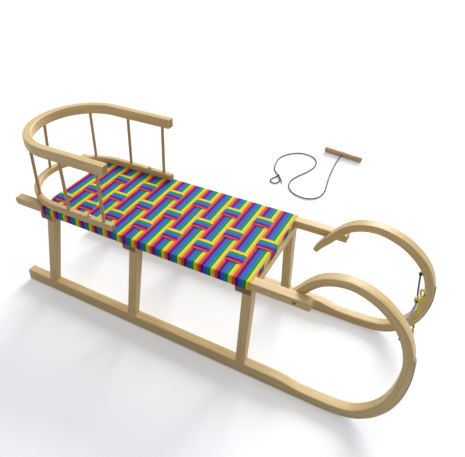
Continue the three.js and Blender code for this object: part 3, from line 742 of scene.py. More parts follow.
def wood_rings(s, place):
    """The yearly rings as a wave from 0 to 1, which wanders a little along the piece."""
    side, up = s.parts(place)[1:]
    wander = s.times(s.minus(s.noise(place, RING_DRIFT, detail=1), 0.5), RING_WANDER)
    across = s.plus(s.plus(up, s.times(side, RING_SLANT)), wander)
    return s.range(s.calc("SINE", s.times(across, 2 * math.pi / RING_PITCH)), -1, 1, 0, 1)


def wood_material(name, pale, middle, dark, fleck):
    """Bent ash or beech: rings, streaks, short dark flecks and open fibres under thin varnish."""
    s = Shader(name, coat_weight=0.25, coat_roughness=0.42, specular_ior_level=0.38)
    place = s.attribute("wood")
    late = s.calc("POWER", wood_rings(s, place), 2.4)
    streaks = s.noise(place, STREAKS, detail=3, roughness=0.6)
    fibres = s.noise(place, FIBRES, detail=2, roughness=0.6)
    board = s.noise(place, BOARD_TONES, detail=1)
    flecks = s.range(s.noise(place, GRAIN_FLECKS, detail=1), 0.63, 0.74, 0, 1)
    tone = s.plus(s.times(late, 0.24), s.range(streaks, 0.3, 0.7, 0, 0.4))
    tone = s.plus(tone, s.range(fibres, 0.3, 0.7, 0, 0.2))
    tone = s.plus(tone, s.times(s.minus(board, 0.5), 0.5), clamp=True)
    colour = s.ramp(tone, [(0.12, pale), (0.5, middle), (0.86, dark)])
    colour = s.mix(s.times(flecks, 0.4), colour, fleck)
    rough = s.plus(0.36, s.times(streaks, 0.22))
    height = s.plus(s.times(fibres, 0.7), s.times(late, 0.5))
    height = s.minus(height, s.times(flecks, 0.6))
    return s.finish(colour, rough, height, bump=0.22, distance=0.00018)


def end_grain_material(name, pale, dark):
    """Sawn ends: open pores and rings seen across, a little redder and duller."""
    s = Shader(name, coat_weight=0.05, coat_roughness=0.4)
    place = s.attribute("wood")
    pores = s.noise(place, PORES, detail=2, roughness=0.7)
    tone = s.plus(s.times(wood_rings(s, place), 0.36), s.times(pores, 0.62), clamp=True)
    colour = s.ramp(tone, [(0.15, pale), (0.85, dark)])
    return s.finish(colour, s.range(pores, 0, 1, 0.5, 0.75), pores, bump=0.35, distance=0.0003)


# Webbing. YARN and WEFT are the pitches of its yarns across and along it
STRIPES = [
    (0.0, srgb(252, 92, 48)), (0.06, srgb(244, 66, 96)), (0.175, srgb(72, 10, 92)),
    (0.29, srgb(78, 52, 176)), (0.36, srgb(84, 96, 218)), (0.46, srgb(52, 106, 204)),
    (0.545, srgb(24, 142, 176)), (0.61, srgb(14, 158, 116)), (0.665, srgb(12, 148, 44)),
    (0.765, srgb(242, 242, 84)), (0.89, srgb(255, 196, 60)),
]
YARN = 1.15
WEFT = 1.5
YARN_STEP_SHARE = 0.45
WEB_FUZZ = (2400, 900, 900)
WEB_FADE = (30, 12, 12)


def webbing_material():
    """Striped polypropylene webbing: the stripes' edges step from yarn to yarn; the ribs are painted lighter
    as a highlight and the gaps between yarns darker as painted shade.
    """
    s = Shader("webbing", specular_ior_level=0.12)
    across, along, face = s.parts(s.attribute("web"))
    warp = s.times(across, 1 / (YARN * MM))
    weft = s.times(along, 1 / (WEFT * MM))
    odd = s.calc("MODULO", s.floor(warp), 2.0)
    rib = s.wave(s.plus(weft, s.times(odd, 0.5)))
    weave = s.times(rib, s.wave(warp))
    step = s.times(s.minus(rib, 0.5), YARN_STEP_SHARE * YARN * MM)
    share = s.calc("DIVIDE", s.plus(across, step), WEB_WIDE * MM)
    place = s.join(across, along, face)
    fuzz = s.noise(place, WEB_FUZZ, detail=2, roughness=0.6)
    fade = s.noise(place, WEB_FADE, detail=2)
    # Painted shade and highlight: the weave's crests are painted lighter and the gaps between yarns darker;
    # fuzz and fade add random tone.
    shade = s.plus(s.times(weave, 0.3), 0.84)
    shade = s.times(shade, s.range(fuzz, 0.2, 0.8, 0.93, 1.07))
    shade = s.times(shade, s.range(fade, 0.2, 0.8, 0.95, 1.05))
    colour = s.shaded(s.ramp(share, STRIPES, "CONSTANT"), shade)
    height = s.plus(weave, s.times(fuzz, 0.15))
    return s.finish(colour, s.range(fuzz, 0, 1, 0.55, 0.72), height, bump=0.55, distance=0.0004)


# Metal and plastic
def steel_material(name, colour, roughness, factors, key=None):
    """Metal with fine scratches and duller patches."""
    s = Shader(name, metallic=1.0)
    place = s.attribute(key) if key else s.object_place()
    scratches = s.noise(place, factors, detail=3, roughness=0.65)
    patches = s.noise(place, (30, 30, 30), detail=3)
    dull = tuple(0.6 * c for c in colour[:3]) + (1,)
    tint = s.mix(s.range(patches, 0.35, 0.75, 0, 0.55), colour, dull)
    rough = s.plus(s.range(scratches, 0.25, 0.75, -0.1, 0.14), roughness)
    return s.finish(tint, rough, scratches, bump=0.12, distance=0.0001)


def plastic_material(name, colour):
    """Moulded plastic, greyer where it is worn."""
    s = Shader(name, specular_ior_level=0.5)
    place = s.object_place()
    grain = s.noise(place, (1800, 1800, 1800), detail=2)
    wear = s.noise(place, (160, 160, 160), detail=3)
    worn = tuple(min(1, 2.2 * c + 0.01) for c in colour[:3]) + (1,)
    tint = s.mix(s.range(wear, 0.4, 0.8, 0, 0.5), colour, worn)
    return s.finish(tint, s.range(wear, 0.2, 0.8, 0.4, 0.62), grain, bump=0.15, distance=0.0001)


# Cable, rope and tether
CABLE_WIRES = 6
CABLE_LAY = 0.011
FLECKS = [
    (0.0, srgb(28, 34, 30)), (0.5, srgb(34, 62, 44)), (0.64, srgb(24, 24, 26)),
    (0.74, srgb(214, 206, 160)), (0.81, srgb(60, 138, 74)), (0.87, srgb(196, 64, 70)),
    (0.93, srgb(222, 196, 66)), (0.97, srgb(70, 88, 176)),
]
CARRIERS = 5
BRAID_PITCH = 3.4
YELLOWS = [
    (0.0, srgb(252, 236, 66)), (0.4, srgb(242, 218, 48)), (0.66, srgb(252, 244, 130)),
    (0.86, srgb(84, 74, 40)), (0.93, srgb(190, 160, 44)),
]
STRAND_LAY = 0.006
TRACER_STEPS = 300.0


def cable_material():
    """Wire rope under a clear blue-grey jacket."""
    s = Shader("cable_jacket", metallic=0.2, coat_weight=0.25, coat_roughness=0.3)
    along, angle = s.parts(s.attribute("cord"))[:2]
    wires = s.wave(s.plus(s.times(along, 1 / CABLE_LAY), angle), CABLE_WIRES)
    patches = s.noise(s.join(along, angle), (60, 3, 1), detail=2)
    colour = s.mix(wires, srgb(40, 42, 56), srgb(88, 92, 114))
    colour = s.mix(s.range(patches, 0.3, 0.7, 0, 0.5), colour, srgb(70, 62, 92))
    return s.finish(colour, s.range(patches, 0, 1, 0.32, 0.5), wires, bump=0.2, distance=0.0002)


def rope_material():
    """A dark braided cord: each diamond is one strand's crossing, and some carry a coloured fleck."""
    s = Shader("pull_rope", sheen_weight=0.3, sheen_roughness=0.5, specular_ior_level=0.3)
    along, angle = s.parts(s.attribute("cord"))[:2]
    run = s.times(along, 1 / (BRAID_PITCH * MM))
    turn = s.times(angle, float(CARRIERS))
    one, other = s.plus(run, turn), s.minus(run, turn)
    flecks = s.ramp(s.chance(s.join(s.floor(one), s.floor(other))), FLECKS, "CONSTANT")
    ridge = s.times(s.wave(one), s.wave(other))
    yarn = s.noise(s.join(one, other), (7, 1.5, 1), detail=2)
    # Painted shade: the braid's valleys, where two strands' diamonds meet, are painted darker and the crests
    # a little lighter; the yarn noise adds random tone.
    shade = s.times(s.range(ridge, 0, 1, 0.55, 1.1), s.range(yarn, 0.2, 0.8, 0.8, 1.2))
    height = s.plus(ridge, s.times(yarn, 0.25))
    return s.finish(s.shaded(flecks, shade), 0.8, height, bump=0.5, distance=0.0004)


def tether_material():
    """Yellow twisted cord with dark tracer yarns."""
    s = Shader("tether_cord", sheen_weight=0.5, sheen_roughness=0.5, specular_ior_level=0.3)
    along, angle, strand = s.parts(s.attribute("cord"))
    lay = s.plus(s.times(along, 1 / STRAND_LAY), s.times(angle, 2.0))
    yarns = s.wave(lay, 3)
    cell = s.join(s.floor(lay), s.floor(s.times(along, TRACER_STEPS)), strand)
    # Painted shade: the grooves between the twisted yarns are painted darker and their crests a little
    # lighter.
    colour = s.shaded(s.ramp(s.chance(cell), YELLOWS, "CONSTANT"), s.range(yarns, 0, 1, 0.82, 1.08))
    return s.finish(colour, 0.75, yarns, bump=0.5, distance=0.0003)


WOOD = wood_material("sled_wood", srgb(238, 212, 160), srgb(222, 190, 128), srgb(186, 144, 84),
                     srgb(130, 90, 48))
WOOD_END = end_grain_material("sled_wood_end", srgb(206, 168, 118), srgb(152, 110, 70))
# Painted shade: the yoke ends use a darker copy of the end grain, as they sit in shade under the rails.
SHADED_YOKE_END = end_grain_material("yoke_wood_end_painted_shade", srgb(168, 124, 80), srgb(110, 74, 46))
DOWEL = wood_material("dowel_wood", srgb(216, 184, 134), srgb(194, 158, 106), srgb(164, 124, 74),
                      srgb(120, 82, 46))
DOWEL_END = end_grain_material("dowel_wood_end", srgb(190, 148, 100), srgb(140, 96, 62))
HANDLE = wood_material("handle_wood", srgb(240, 208, 170), srgb(226, 184, 140), srgb(204, 156, 112),
                       srgb(164, 112, 76))
HANDLE_END = end_grain_material("handle_wood_end", srgb(222, 178, 138), srgb(176, 128, 94))
SOLE_STEEL = steel_material("runner_steel", srgb(150, 154, 150), 0.36, (12, 1500, 1500), "wood")
BOLT_STEEL = steel_material("fastener_steel", srgb(150, 150, 144), 0.42, (500, 500, 500))
DARK_STEEL = steel_material("fastener_steel_dark", srgb(150, 128, 88), 0.42, (500, 500, 500))
BRASS = steel_material("insert_brass", srgb(214, 176, 104), 0.3, (500, 500, 2000))
BLACK = plastic_material("eye_plastic", srgb(30, 30, 34))
WEBBING = webbing_material()
CABLE = cable_material()
ROPE = rope_material()
TETHER = tether_material()


# Cords: a tube along a line, whose surface can rise and fall along and round it
CORD_SIDES = 16
ROPE_STEPS = 1150
END_LOOP_STEPS = 110
END_TAIL_STEPS = 40
TAIL_START = 200
WRAP_TILTS = (0.0, 1.05, 2.1)
WRAP_WAVE = 0.28
WRAP_CORD_SHARE = 0.46
WRAP_SIDES = 12
WRAP_START = 40
WRAP_POINTS = 32
WRAP_STEPS = 48
BRAID_LOW_SHARE = 0.9
END_KNOT = {"place": (-106.5, 797, 4.6), "radii": (3.4, 3.4, 2.0), "turn": 0.5}
HANDLE_KNOT_RADII = (3.4, 1.5, 3.4)
HANDLE_KNOT_OUT = 3.6
TETHER_LAY = 11
TETHER_STEPS = 210
STRAND_SHARE = 0.62
STRAND_SIDES = 10
KNOT_REACH = 2.9
KNOT_TALL = 5.6
KNOT_WAVE = 1.3
KNOT_TURNS = 1.5
KNOT_POINTS = 40
KNOT_STEPS = 60
KNOT_CORD_SHARE = 0.45
HITCH_TURNS = 2.6
HITCH_POINTS = 90
HITCH_STEPS = 140
HITCH_CORD_SHARE = 0.95
HITCH_GRIP_SHARE = 0.85


def cord_mesh(name, line, radius, sides=CORD_SIDES, shape=None, strand=0.0, start=0.0):
    verts, marks = [], []
    for middle, (across, other), reach in zip(line, frames_along(line), reach_along(line)):
        far = start + reach
        for k, angle in enumerate(ring_angles(sides)):
            x, y = on_circle(1, angle)
            grown = radius * (shape(far, k / sides) if shape else 1)
            verts.append(middle + (across * x + other * y) * grown)
            marks.append((far * MM, k / sides, strand))
    faces = ring_faces(len(line), sides) + end_faces(len(line), sides)
    return new_mesh(name, verts, faces, "cord", marks)


def braid(far, share):
    """Height of a braided cord's surface: low where two strands' diamonds meet."""
    one = far / BRAID_PITCH + share * CARRIERS
    other = far / BRAID_PITCH - share * CARRIERS
    ridge = abs(math.sin(math.pi * one)) * abs(math.sin(math.pi * other))
    return lerp(BRAID_LOW_SHARE, 1, math.sqrt(ridge))


def joined(name, parts):
    """One object from several, with their marks kept."""
    with bpy.context.temp_override(
            active_object=parts[0], object=parts[0],
            selected_objects=parts, selected_editable_objects=parts):
        bpy.ops.object.join()
    parts[0].name = name
    parts[0].data.name = name
    return parts[0]


def pull_rope():
    line = through_points(list(reversed(ROPE_RUN)), ROPE_STEPS)
    made = cord_mesh("pull_rope_braid", line, ROPE_DIAMETER / 2, shape=braid)
    return settle(made, ROPE, "frame", "pull_rope", "pull_rope", crisp=False), line


def knot_ball(name, place, radii, turn):
    """A stopper knot: three wraps of cord over each other round a small core."""
    form = Matrix.Rotation(turn, 3, "Z") @ Matrix.Diagonal(radii)
    parts = []
    for i, tilt in enumerate(WRAP_TILTS):
        line = []
        for angle in stops(0, 2 * math.pi, WRAP_POINTS):
            wrap = Vector((*on_circle(1, angle), WRAP_WAVE * math.sin(2 * angle + tilt)))
            line.append(Vector(place) + form @ (Matrix.Rotation(tilt, 3, "X") @ wrap))
        parts.append(cord_mesh(f"{name}_wrap_{i}", even_steps(line, WRAP_STEPS),
                               ROPE_DIAMETER * WRAP_CORD_SHARE, WRAP_SIDES, braid, start=WRAP_START * i))
    return joined(name, parts)


def rope_end():
    loop = cord_mesh("rope_loop", through_points(ROPE_LOOP, END_LOOP_STEPS), ROPE_DIAMETER / 2, shape=braid)
    tail = cord_mesh("rope_tail", through_points(ROPE_TAIL, END_TAIL_STEPS), ROPE_DIAMETER / 2,
                     shape=braid, start=TAIL_START)
    made = joined("rope_end_loop_braid", [loop, tail, knot_ball("rope_knot", **END_KNOT)])
    return settle(made, ROPE, "frame", "pull_rope", "rope_end_loop", crisp=False)


def handle_matrix():
    place = Matrix.Translation(Vector((*HANDLE_CENTRE, HANDLE_RADIUS)))
    return place @ Matrix.Rotation(HANDLE_ANGLE, 4, "Z")


def pull_handle():
    half = HANDLE_LONG / 2
    size = (2 * HANDLE_RADIUS,) * 2
    at, length = between((-half, 0, 0), (half, 0, 0), Y_AXIS, Z_AXIS, size, size)
    made = swept_bar("pull_handle_turned", at, length, 0, **HANDLE_BAR)
    made.data.attributes.remove(made.data.attributes["wood"])
    through = 2 * HANDLE_RADIUS
    drill(made, [rod("bore", (0, -through, 0), (0, through, 0), ROPE_DIAMETER / 2 + BORE_SPARE)])
    straight_grain(made, "X", GRAINS["handle"])
    place = handle_matrix()
    place.translation *= MM
    made.data.transform(place)
    return settle(made, [HANDLE, HANDLE_END], "frame", "handle_wood", "pull_handle")


def handle_knot():
    place = handle_matrix() @ Vector((0, HANDLE_RADIUS + HANDLE_KNOT_OUT, 0))
    made = knot_ball("handle_knot_braid", place, HANDLE_KNOT_RADII, HANDLE_ANGLE)
    return settle(made, ROPE, "frame", "pull_rope", "handle_knot", crisp=False)


def twisted(name, line, radius):
    """Two strands laid round each other along a line."""
    strand_radius = radius * STRAND_SHARE
    strands = ([], [])
    for middle, (across, other), far in zip(line, frames_along(line), reach_along(line)):
        x, y = on_circle(radius - strand_radius, 2 * math.pi * far / TETHER_LAY)
        strands[0].append(middle + (across * x + other * y))
        strands[1].append(middle - (across * x + other * y))
    return joined(name, [
        cord_mesh(f"{name}_strand_{i}", points, strand_radius, STRAND_SIDES, strand=float(i))
        for i, points in enumerate(strands)])


def tether():
    line = through_points(TETHER_ROUTE, TETHER_STEPS)
    made = twisted("tether_twist", line, TETHER_DIAMETER / 2)
    return settle(made, TETHER, "tether", "tether_cord", "tether_cord", crisp=False), line


def tether_end():
    """The overhand knot at the tether's end."""
    line = []
    for share in stops(0, 1, KNOT_POINTS):
        angle = 2 * math.pi * KNOT_TURNS * share
        rise = lerp(-0.5, 0.5, share) * KNOT_TALL - KNOT_WAVE * math.cos(2 * angle)
        line.append(Vector(TETHER_ROUTE[-1]) + Vector((*on_circle(KNOT_REACH, angle), rise)))
    made = twisted("tether_end_knot", even_steps(line, KNOT_STEPS), TETHER_DIAMETER * KNOT_CORD_SHARE)
    return settle(made, TETHER, "tether", "tether_cord", crisp=False)


# Horn line, as the runner's outer line goes from the floor round the front to the tail
def horn_outline():
    shares = [Vector(pair) for pair in HORN_OUTER_SHARES]
    line = [Vector((lerp(HORN_START_X, HORN_FRONT_X, p.x), 0, lerp(WOOD_BOTTOM_Z, HORN_TOP_Z, p.y)))
            for p in curve_line(shares, shares[0], shares[-1])]
    return even_steps(line, HORN_STEPS)


HORN_LINE = horn_outline()
HORN_LONG = line_length(HORN_LINE)


def horn_point(share):
    """A point of the outer line, the direction out of the wood and its thickness there."""
    place = min(max(share, 0), 1) * HORN_STEPS
    low = min(int(place), HORN_STEPS - 1)
    point = HORN_LINE[low].lerp(HORN_LINE[low + 1], place - low)
    along = (HORN_LINE[min(low + 2, HORN_STEPS)] - HORN_LINE[max(low - 1, 0)]).normalized()
    out = Vector((along.z, 0, -along.x))
    tip = smooth((share - HORN_TIP_START_SHARE) / (1 - HORN_TIP_START_SHARE))
    return point, out, lerp(HORN_THICK, HORN_TAIL_THICK, share) * lerp(1, HORN_TIP_THIN_SHARE, tip)


def horn_mid_y(x, z):
    """How far to the side the horn's middle is, where it bends inward on its way round."""
    angle = math.atan2(z - HORN_CENTRE_Z, x - HORN_CENTRE_X)
    share = (angle - HORN_BEND_START_ANGLE) / (HORN_BEND_END_ANGLE - HORN_BEND_START_ANGLE)
    return RUNNER_MID_Y - HORN_INWARD * smooth(share)


def side_bend(side):
    return lambda point: point + Y_AXIS * side * horn_mid_y(point.x, point.z)


EYE_POINT, EYE_OUT, EYE_WOOD = horn_point(CABLE_EYE_SHARE)
EYE_MIDDLE = EYE_POINT - EYE_OUT * (EYE_WOOD + SEAT_GAP + EYE_RADIUS)
EYE_Y = horn_mid_y(EYE_MIDDLE.x, EYE_MIDDLE.z) - EYE_SIDE_SHIFT
HITCH = Vector((EYE_MIDDLE.x + CABLE_FORWARD, HITCH_Y, EYE_MIDDLE.z - CABLE_SAG))


def cable_half(side):
    """The cable's line from inside one eye to the hitch."""
    mouth = EYE_Y - EYE_LONG / 2
    free = mouth - CABLE_RADIUS
    x, z = EYE_MIDDLE.x, EYE_MIDDLE.z
    points = [(x, side * y, z) for y in (mouth + CABLE_BITE - SEAT_GAP, mouth, free)]
    for share in CABLE_SLACK_SHARES:
        points.append((lerp(HITCH.x, x, share), lerp(HITCH_Y, side * free, share),
                       z - CABLE_SAG * (1 - share * share)))
    for part in (1, 0.5):
        points.append((HITCH.x, HITCH_Y + side * HITCH_WIDE * part, HITCH.z))
    return points


def link_cable():
    def wires(far, share):
        lay = math.cos(CABLE_WIRES * math.pi * (share - far / CABLE_WIRE_LAY))
        return 1 + CABLE_RELIEF_SHARE * (abs(lay) - CABLE_LEVEL_SHARE)
    line = through_points(cable_half(1) + list(reversed(cable_half(-1))), CABLE_STEPS)
    made = cord_mesh("link_cable_wire", line, CABLE_RADIUS, CABLE_SIDES, wires)
    return settle(made, CABLE, "frame", "cable_jacket", "link_cable", crisp=False)


def tether_hitch():
    """Turns of the cord round the cable, held by the standing part."""
    radius = TETHER_DIAMETER / 2
    reach = CABLE_RADIUS + radius * HITCH_GRIP_SHARE
    line = []
    for share in stops(0, 1, HITCH_POINTS):
        x, z = on_circle(reach, 2 * math.pi * HITCH_TURNS * share)
        line.append(HITCH + Vector((x, lerp(-0.5, 0.5, share) * (HITCH_WIDE - TETHER_DIAMETER), z)))
    made = twisted("tether_hitch_turns", even_steps(line, HITCH_STEPS), radius * HITCH_CORD_SHARE)
    return settle(made, TETHER, "tether", "tether_cord", "tether_hitch", crisp=False)


rope_piece, rope_line = pull_rope()
end_piece = rope_end()
handle_piece = pull_handle()
knot_piece = handle_knot()
line_length(rope_line) * MM
tether_piece, tether_line = tether()
tether_knot = tether_end()
line_length(tether_line) * MM
[tuple(p * MM) for p in tether_line[::3]]
tether_hitch()
link_cable()


# Runners, each in one piece with its horn
def runner_stations(side_name):
    """Middle line of the runner and horn with its inward direction and thickness, before the side bend."""
    straight = stops(RUNNER_REAR_X, TAPER_START_X, RUNNER_STEPS)
    taper = stops(TAPER_START_X, TAPER_END_X, TAPER_STEPS)[1:]
    level = stops(TAPER_END_X, HORN_START_X, LEVEL_STEPS)[1:-1]
    rows = []
    for x in straight + taper + level:
        thick = lerp(RUNNER_TALL, HORN_THICK, smooth((x - TAPER_START_X) / TAPER_LONG))
        rows.append((Vector((x, 0, WOOD_BOTTOM_Z + thick / 2)), Z_AXIS, thick))
    for share in stops(0, 1 - HORN_TAIL_TRIM[side_name] / HORN_LONG, HORN_STEPS):
        point, out, thick = horn_point(share)
        rows.append((point - out * (thick / 2), -out, thick))
    return rows


def along_rows(rows):
    """The middle, direction and half thickness at a distance along a line, and its length."""
    reach = reach_along([row[0] for row in rows])

    def at(far):
        low = min(max(bisect_right(reach, far) - 1, 0), len(reach) - 2)
        span = reach[low + 1] - reach[low]
        share = (far - reach[low]) / span if span else 0
        a, b = rows[low], rows[low + 1]
        return a[0].lerp(b[0], share), a[1].lerp(b[1], share).normalized(), lerp(a[2], b[2], share) / 2

    return at, reach[-1]


def runner(side_name, side, grain):
    at, length = along_rows(runner_stations(side_name))

    def place(far):
        middle, inward, half = at(far)
        return middle, Y_AXIS, inward, RUNNER_WIDE / 2, half

    made = swept_bar(f"runner_horn_{side_name}_wood", place, length, grain,
                     bend=side_bend(side), **RUNNER_BAR)
    return settle(made, [WOOD, WOOD_END], "frame", "sled_wood", f"runner_horn_{side_name}")


def steel_strip(side_name, side):
    """The strip under the runner and up the horn's front, with rounded ends."""
    rows = [(Vector((x, 0, STRIP_THICK / 2)), Z_AXIS, STRIP_THICK)
            for x in stops(RUNNER_REAR_X + STRIP_REAR_INSET, HORN_START_X, STRIP_STEPS)[:-1]]
    for share in stops(0, 1, HORN_STEPS):
        point, out = horn_point(share)[:2]
        if point.z > STRIP_END_Z and point.x > HORN_START_X:
            break
        rows.append((point + out * (SEAT_GAP + STRIP_THICK / 2), -out, STRIP_THICK))
    at, length = along_rows(rows)

    def place(far):
        middle, inward, half = at(far)
        nose = min(far, length - far) / (STRIP_WIDE / 2)
        share = math.sqrt(1 - (1 - min(nose, 1)) ** 2)
        return middle, Y_AXIS, inward, STRIP_WIDE / 2 * lerp(STRIP_NOSE_SHARE, 1, share), half

    made = swept_bar(f"steel_strip_{side_name}_metal", place, length, GRAINS["strip"] + side,
                     bend=side_bend(side), **STRIP_BAR)
    return settle(made, SOLE_STEEL, "frame", "runner_steel", f"steel_strip_{side_name}")


# Rails, yokes, legs and crossbars
def rail(side_name, side, grain):
    front = (RAIL_FRONT_X - RAIL_FRONT_ROUND, RAIL_TOP_Z - RAIL_FRONT_ROUND)
    outline = [(RAIL_REAR_X + RAIL_REAR_CHAMFER, RAIL_BOTTOM_Z), (RAIL_FRONT_X, RAIL_BOTTOM_Z)]
    outline += arc_points(front, RAIL_FRONT_ROUND, 0, 90)
    outline += [(RAIL_REAR_X, RAIL_TOP_Z), (RAIL_REAR_X, RAIL_BOTTOM_Z + RAIL_REAR_CHAMFER)]
    made = prism(f"rail_{side_name}_wood", outline, "Y", side * RAIL_MID_Y, RAIL_WIDE, WOOD_EDGE)
    recess = [(HORN_SCREW_X, side * y, RAIL_TOP_Z - RAIL_TALL / 2)
              for y in (RAIL_OUTER_Y - HORN_SCREW_RECESS, RAIL_OUTER_Y + CUT_PAST)]
    socket = [(BOLT_X, side * BOLT_Y, z) for z in (RAIL_TOP_Z - INSERT_LONG, RAIL_TOP_Z + CUT_PAST)]
    drill(made, [rod("recess", *recess, HORN_SCREW_HEAD_RADIUS + BORE_SPARE, CUT_SIDES),
                 rod("socket", *socket, INSERT_RADIUS + SEAT_GAP, CUT_SIDES)])
    straight_grain(made, "X", grain)
    return settle(made, [WOOD, WOOD_END], "frame", "sled_wood", f"rail_{side_name}")


def yoke_middle_x(place):
    return LEG_TOP_X[place] + LEG_TOP[0] / 2 - YOKE_DEEP / 2


def yoke(place, grain):
    end_y = RAIL_OUTER_Y - YOKE_END_INSET
    low = YOKE_BOTTOM_Z + YOKE_ROUND
    outline = arc_points((end_y - YOKE_ROUND, low), YOKE_ROUND, -90, 0)
    outline += [(end_y, YOKE_TOP_Z), (-end_y, YOKE_TOP_Z)]
    outline += arc_points((-end_y + YOKE_ROUND, low), YOKE_ROUND, 180, 270)
    made = prism(f"yoke_{place}_wood", outline, "X", yoke_middle_x(place), YOKE_DEEP, WOOD_EDGE)
    straight_grain(made, "Y", grain)
    return settle(made, [WOOD, SHADED_YOKE_END], "frame", "sled_wood", f"yoke_{place}")


def leg(side_name, side, place, grain):
    foot = (LEG_FOOT_X[place], side * RUNNER_MID_Y, LEG_FOOT_Z)
    head = (LEG_TOP_X[place], side * LEG_TOP_Y, LEG_TOP_Z)
    at, length = between(foot, head, X_AXIS, Y_AXIS, LEG_FOOT, LEG_TOP)
    made = swept_bar(f"leg_{side_name}_{place}_wood", at, length, grain, **LEG_BAR)
    return settle(made, [WOOD, WOOD_END], "frame", "sled_wood", f"leg_{side_name}_{place}")


def crossbar(place, grain):
    low, high = CROSSBAR_TOP_Z - CROSSBAR_TALL, CROSSBAR_TOP_Z
    rear, front = (CROSSBAR_X[place] + half for half in (-CROSSBAR_DEEP / 2, CROSSBAR_DEEP / 2))
    outline = [(rear, low), (front, low), (front, high), (rear, high)]
    made = prism(f"crossbar_{place}_wood", outline, "Y", 0, 2 * (RAIL_INNER_Y - SEAT_GAP), CROSSBAR_EDGE)
    straight_grain(made, "Y", grain)
    return settle(made, [WOOD, WOOD_END], "frame", "sled_wood", f"crossbar_{place}")


def horn_screw(side_name, side):
    """A countersunk screw with a cross recess, sunk in the rail's outer face."""
    seat = RAIL_OUTER_Y - HORN_SCREW_RECESS + SEAT_GAP
    profile = SCREW_SHANK + [(HORN_SCREW_HEAD_RADIUS * share, high) for share, high in SCREW_CROWN_SHARES]
    turn = Matrix.Rotation(-side * math.pi / 2, 3, "X")
    place = Vector((HORN_SCREW_X, side * seat, RAIL_TOP_Z - RAIL_TALL / 2))
    made = turned(f"horn_screw_{side_name}_steel", profile, SCREW_SIDES, place, turn)
    middle = place + Y_AXIS * side * SLOT_HIGH
    slots = []
    for angle in (SLOT_TURN, SLOT_TURN + math.pi / 2):
        x, z = on_circle(1, angle)
        reach = Vector((x, 0, z)) * SLOT_REACH
        slots.append(rod("slot", middle - reach, middle + reach, SLOT_RADIUS, SLOT_SIDES))
    drill(made, slots)
    return settle(made, DARK_STEEL, "frame", "fastener_steel", f"horn_screw_{side_name}")


for order, (side_name, side) in enumerate(SIDES.items()):
    runner(side_name, side, GRAINS["runner"] + order)
    steel_strip(side_name, side)
    rail(side_name, side, GRAINS["rail"] + order)
    horn_screw(side_name, side)
    for number, place in enumerate(PLACES):
        leg(side_name, side, place, GRAINS["leg"] + len(PLACES) * order + number)
for number, place in enumerate(PLACES):
    yoke(place, GRAINS["yoke"] + number)
for number, place in enumerate(CROSSBAR_X):
    crossbar(place, GRAINS["crossbar"] + number)


# Webbing
def rounded_line(points, radius, step):
    """A line with round corners, in even steps."""
    corners = [Vector((*p, 0)) for p in points]
    line = [corners[0]]
    for before, corner, after in zip(corners, corners[1:], corners[2:]):
        into, away = (corner - before), (after - corner)
        turn = into.angle(away, 0)
        if turn < STRAIGHT_ENOUGH:
            line.append(corner)
            continue
        cut = min(radius * math.tan(turn / 2), CORNER_CUT_SHARE * min(into.length, away.length))
        start, end = corner - into.normalized() * cut, corner + away.normalized() * cut
        for t in stops(0, 1, CORNER_STEPS):
            line.append((1 - t) ** 2 * start + 2 * t * (1 - t) * corner + t * t * end)
    line.append(corners[-1])
    return even_steps(line, round(line_length(line) / step))


def ribbon(name, line, wide, place):
    """Webbing along a flat line, with thin rounded edges. place(a, b, across) gives the point."""
    half = wide / 2
    rim = [(share, thick, 1) for share, thick in RIBBON_SHARES]
    rim += [(share, thick, -1) for share, thick in reversed(RIBBON_SHARES)]
    verts, marks = [], []
    for point, along, far in zip(line, tangents_of(line), reach_along(line)):
        up = Vector((-along.y, along.x, 0))
        for share, thick, face in rim:
            spot = point + up * (face * thick * WEB_THICK / 2)
            verts.append(place(spot.x, spot.y, share * half))
            marks.append(((share * half + WEB_WIDE / 2) * MM, far * MM, face * WEB_FACE_MARK))
    faces = ring_faces(len(line), len(rim)) + end_faces(len(line), len(rim))
    made = new_mesh(name, verts, faces, "web", marks)
    sheet = bmesh.new()
    sheet.from_mesh(made.data)
    bmesh.ops.recalc_face_normals(sheet, faces=sheet.faces)
    sheet.to_mesh(made.data)
    sheet.free()
    return made


def strap_middle_x(index):
    return SEAT_FRONT_X - (index + 0.5) * STRAP_PITCH


def over_yoke(index):
    reach = (YOKE_DEEP + WEB_WIDE) / 2
    return any(abs(strap_middle_x(index) - yoke_middle_x(place)) < reach for place in PLACES)


def cross_strap(index):
    """A strap over both rails; between the yokes its ends are turned under the rails."""
    side_y = RAIL_OUTER_Y + SEAT_GAP + WEB_THICK / 2
    low_z = RAIL_BOTTOM_Z - SEAT_GAP - WEB_THICK / 2
    half = [(side_y, WEB_MID_Z), (side_y, RAIL_BOTTOM_Z)]
    if not over_yoke(index):
        half = [(side_y, WEB_MID_Z), (side_y, low_z), (RAIL_OUTER_Y - FLAP_UNDER, low_z)]
    line = rounded_line([(-y, z) for y, z in reversed(half)] + half, CROSS_STRAP_ROUND, CROSS_STRAP_STEP)
    middle_x = strap_middle_x(index)

    def place(y, z, across):
        """Over or under a lengthwise strap the webbing rises or dips a little."""
        lift = 0
        for name, strap_y in LONG_STRAP_Y.items():
            press = 1 if (name == "middle") == (index % 2 == 0) else -1
            lift -= WEB_DIP * press * smooth(1 - abs(y - strap_y) / (WEB_WIDE * WEB_DIP_SHARE))
        seat = 1 if abs(y) < RAIL_INNER_Y else 0
        return Vector((middle_x + across, y, z + lift * seat))

    number = f"{index + 1:02d}"
    made = ribbon(f"strap_cross_{number}_web", line, STRAP_PITCH - CROSS_STRAP_SPARE, place)
    if abs(middle_x - BOLT_X) < WEB_WIDE / 2:
        drill(made, [rod("hole", (BOLT_X, side * BOLT_Y, RAIL_TOP_Z - HOLE_PAST),
                         (BOLT_X, side * BOLT_Y, WEB_TOP_Z + HOLE_PAST), BOLT_RADIUS + BORE_SPARE)
                     for side in SIDES.values()])
    return settle(made, WEBBING, "frame", "webbing", f"strap_cross_{number}")


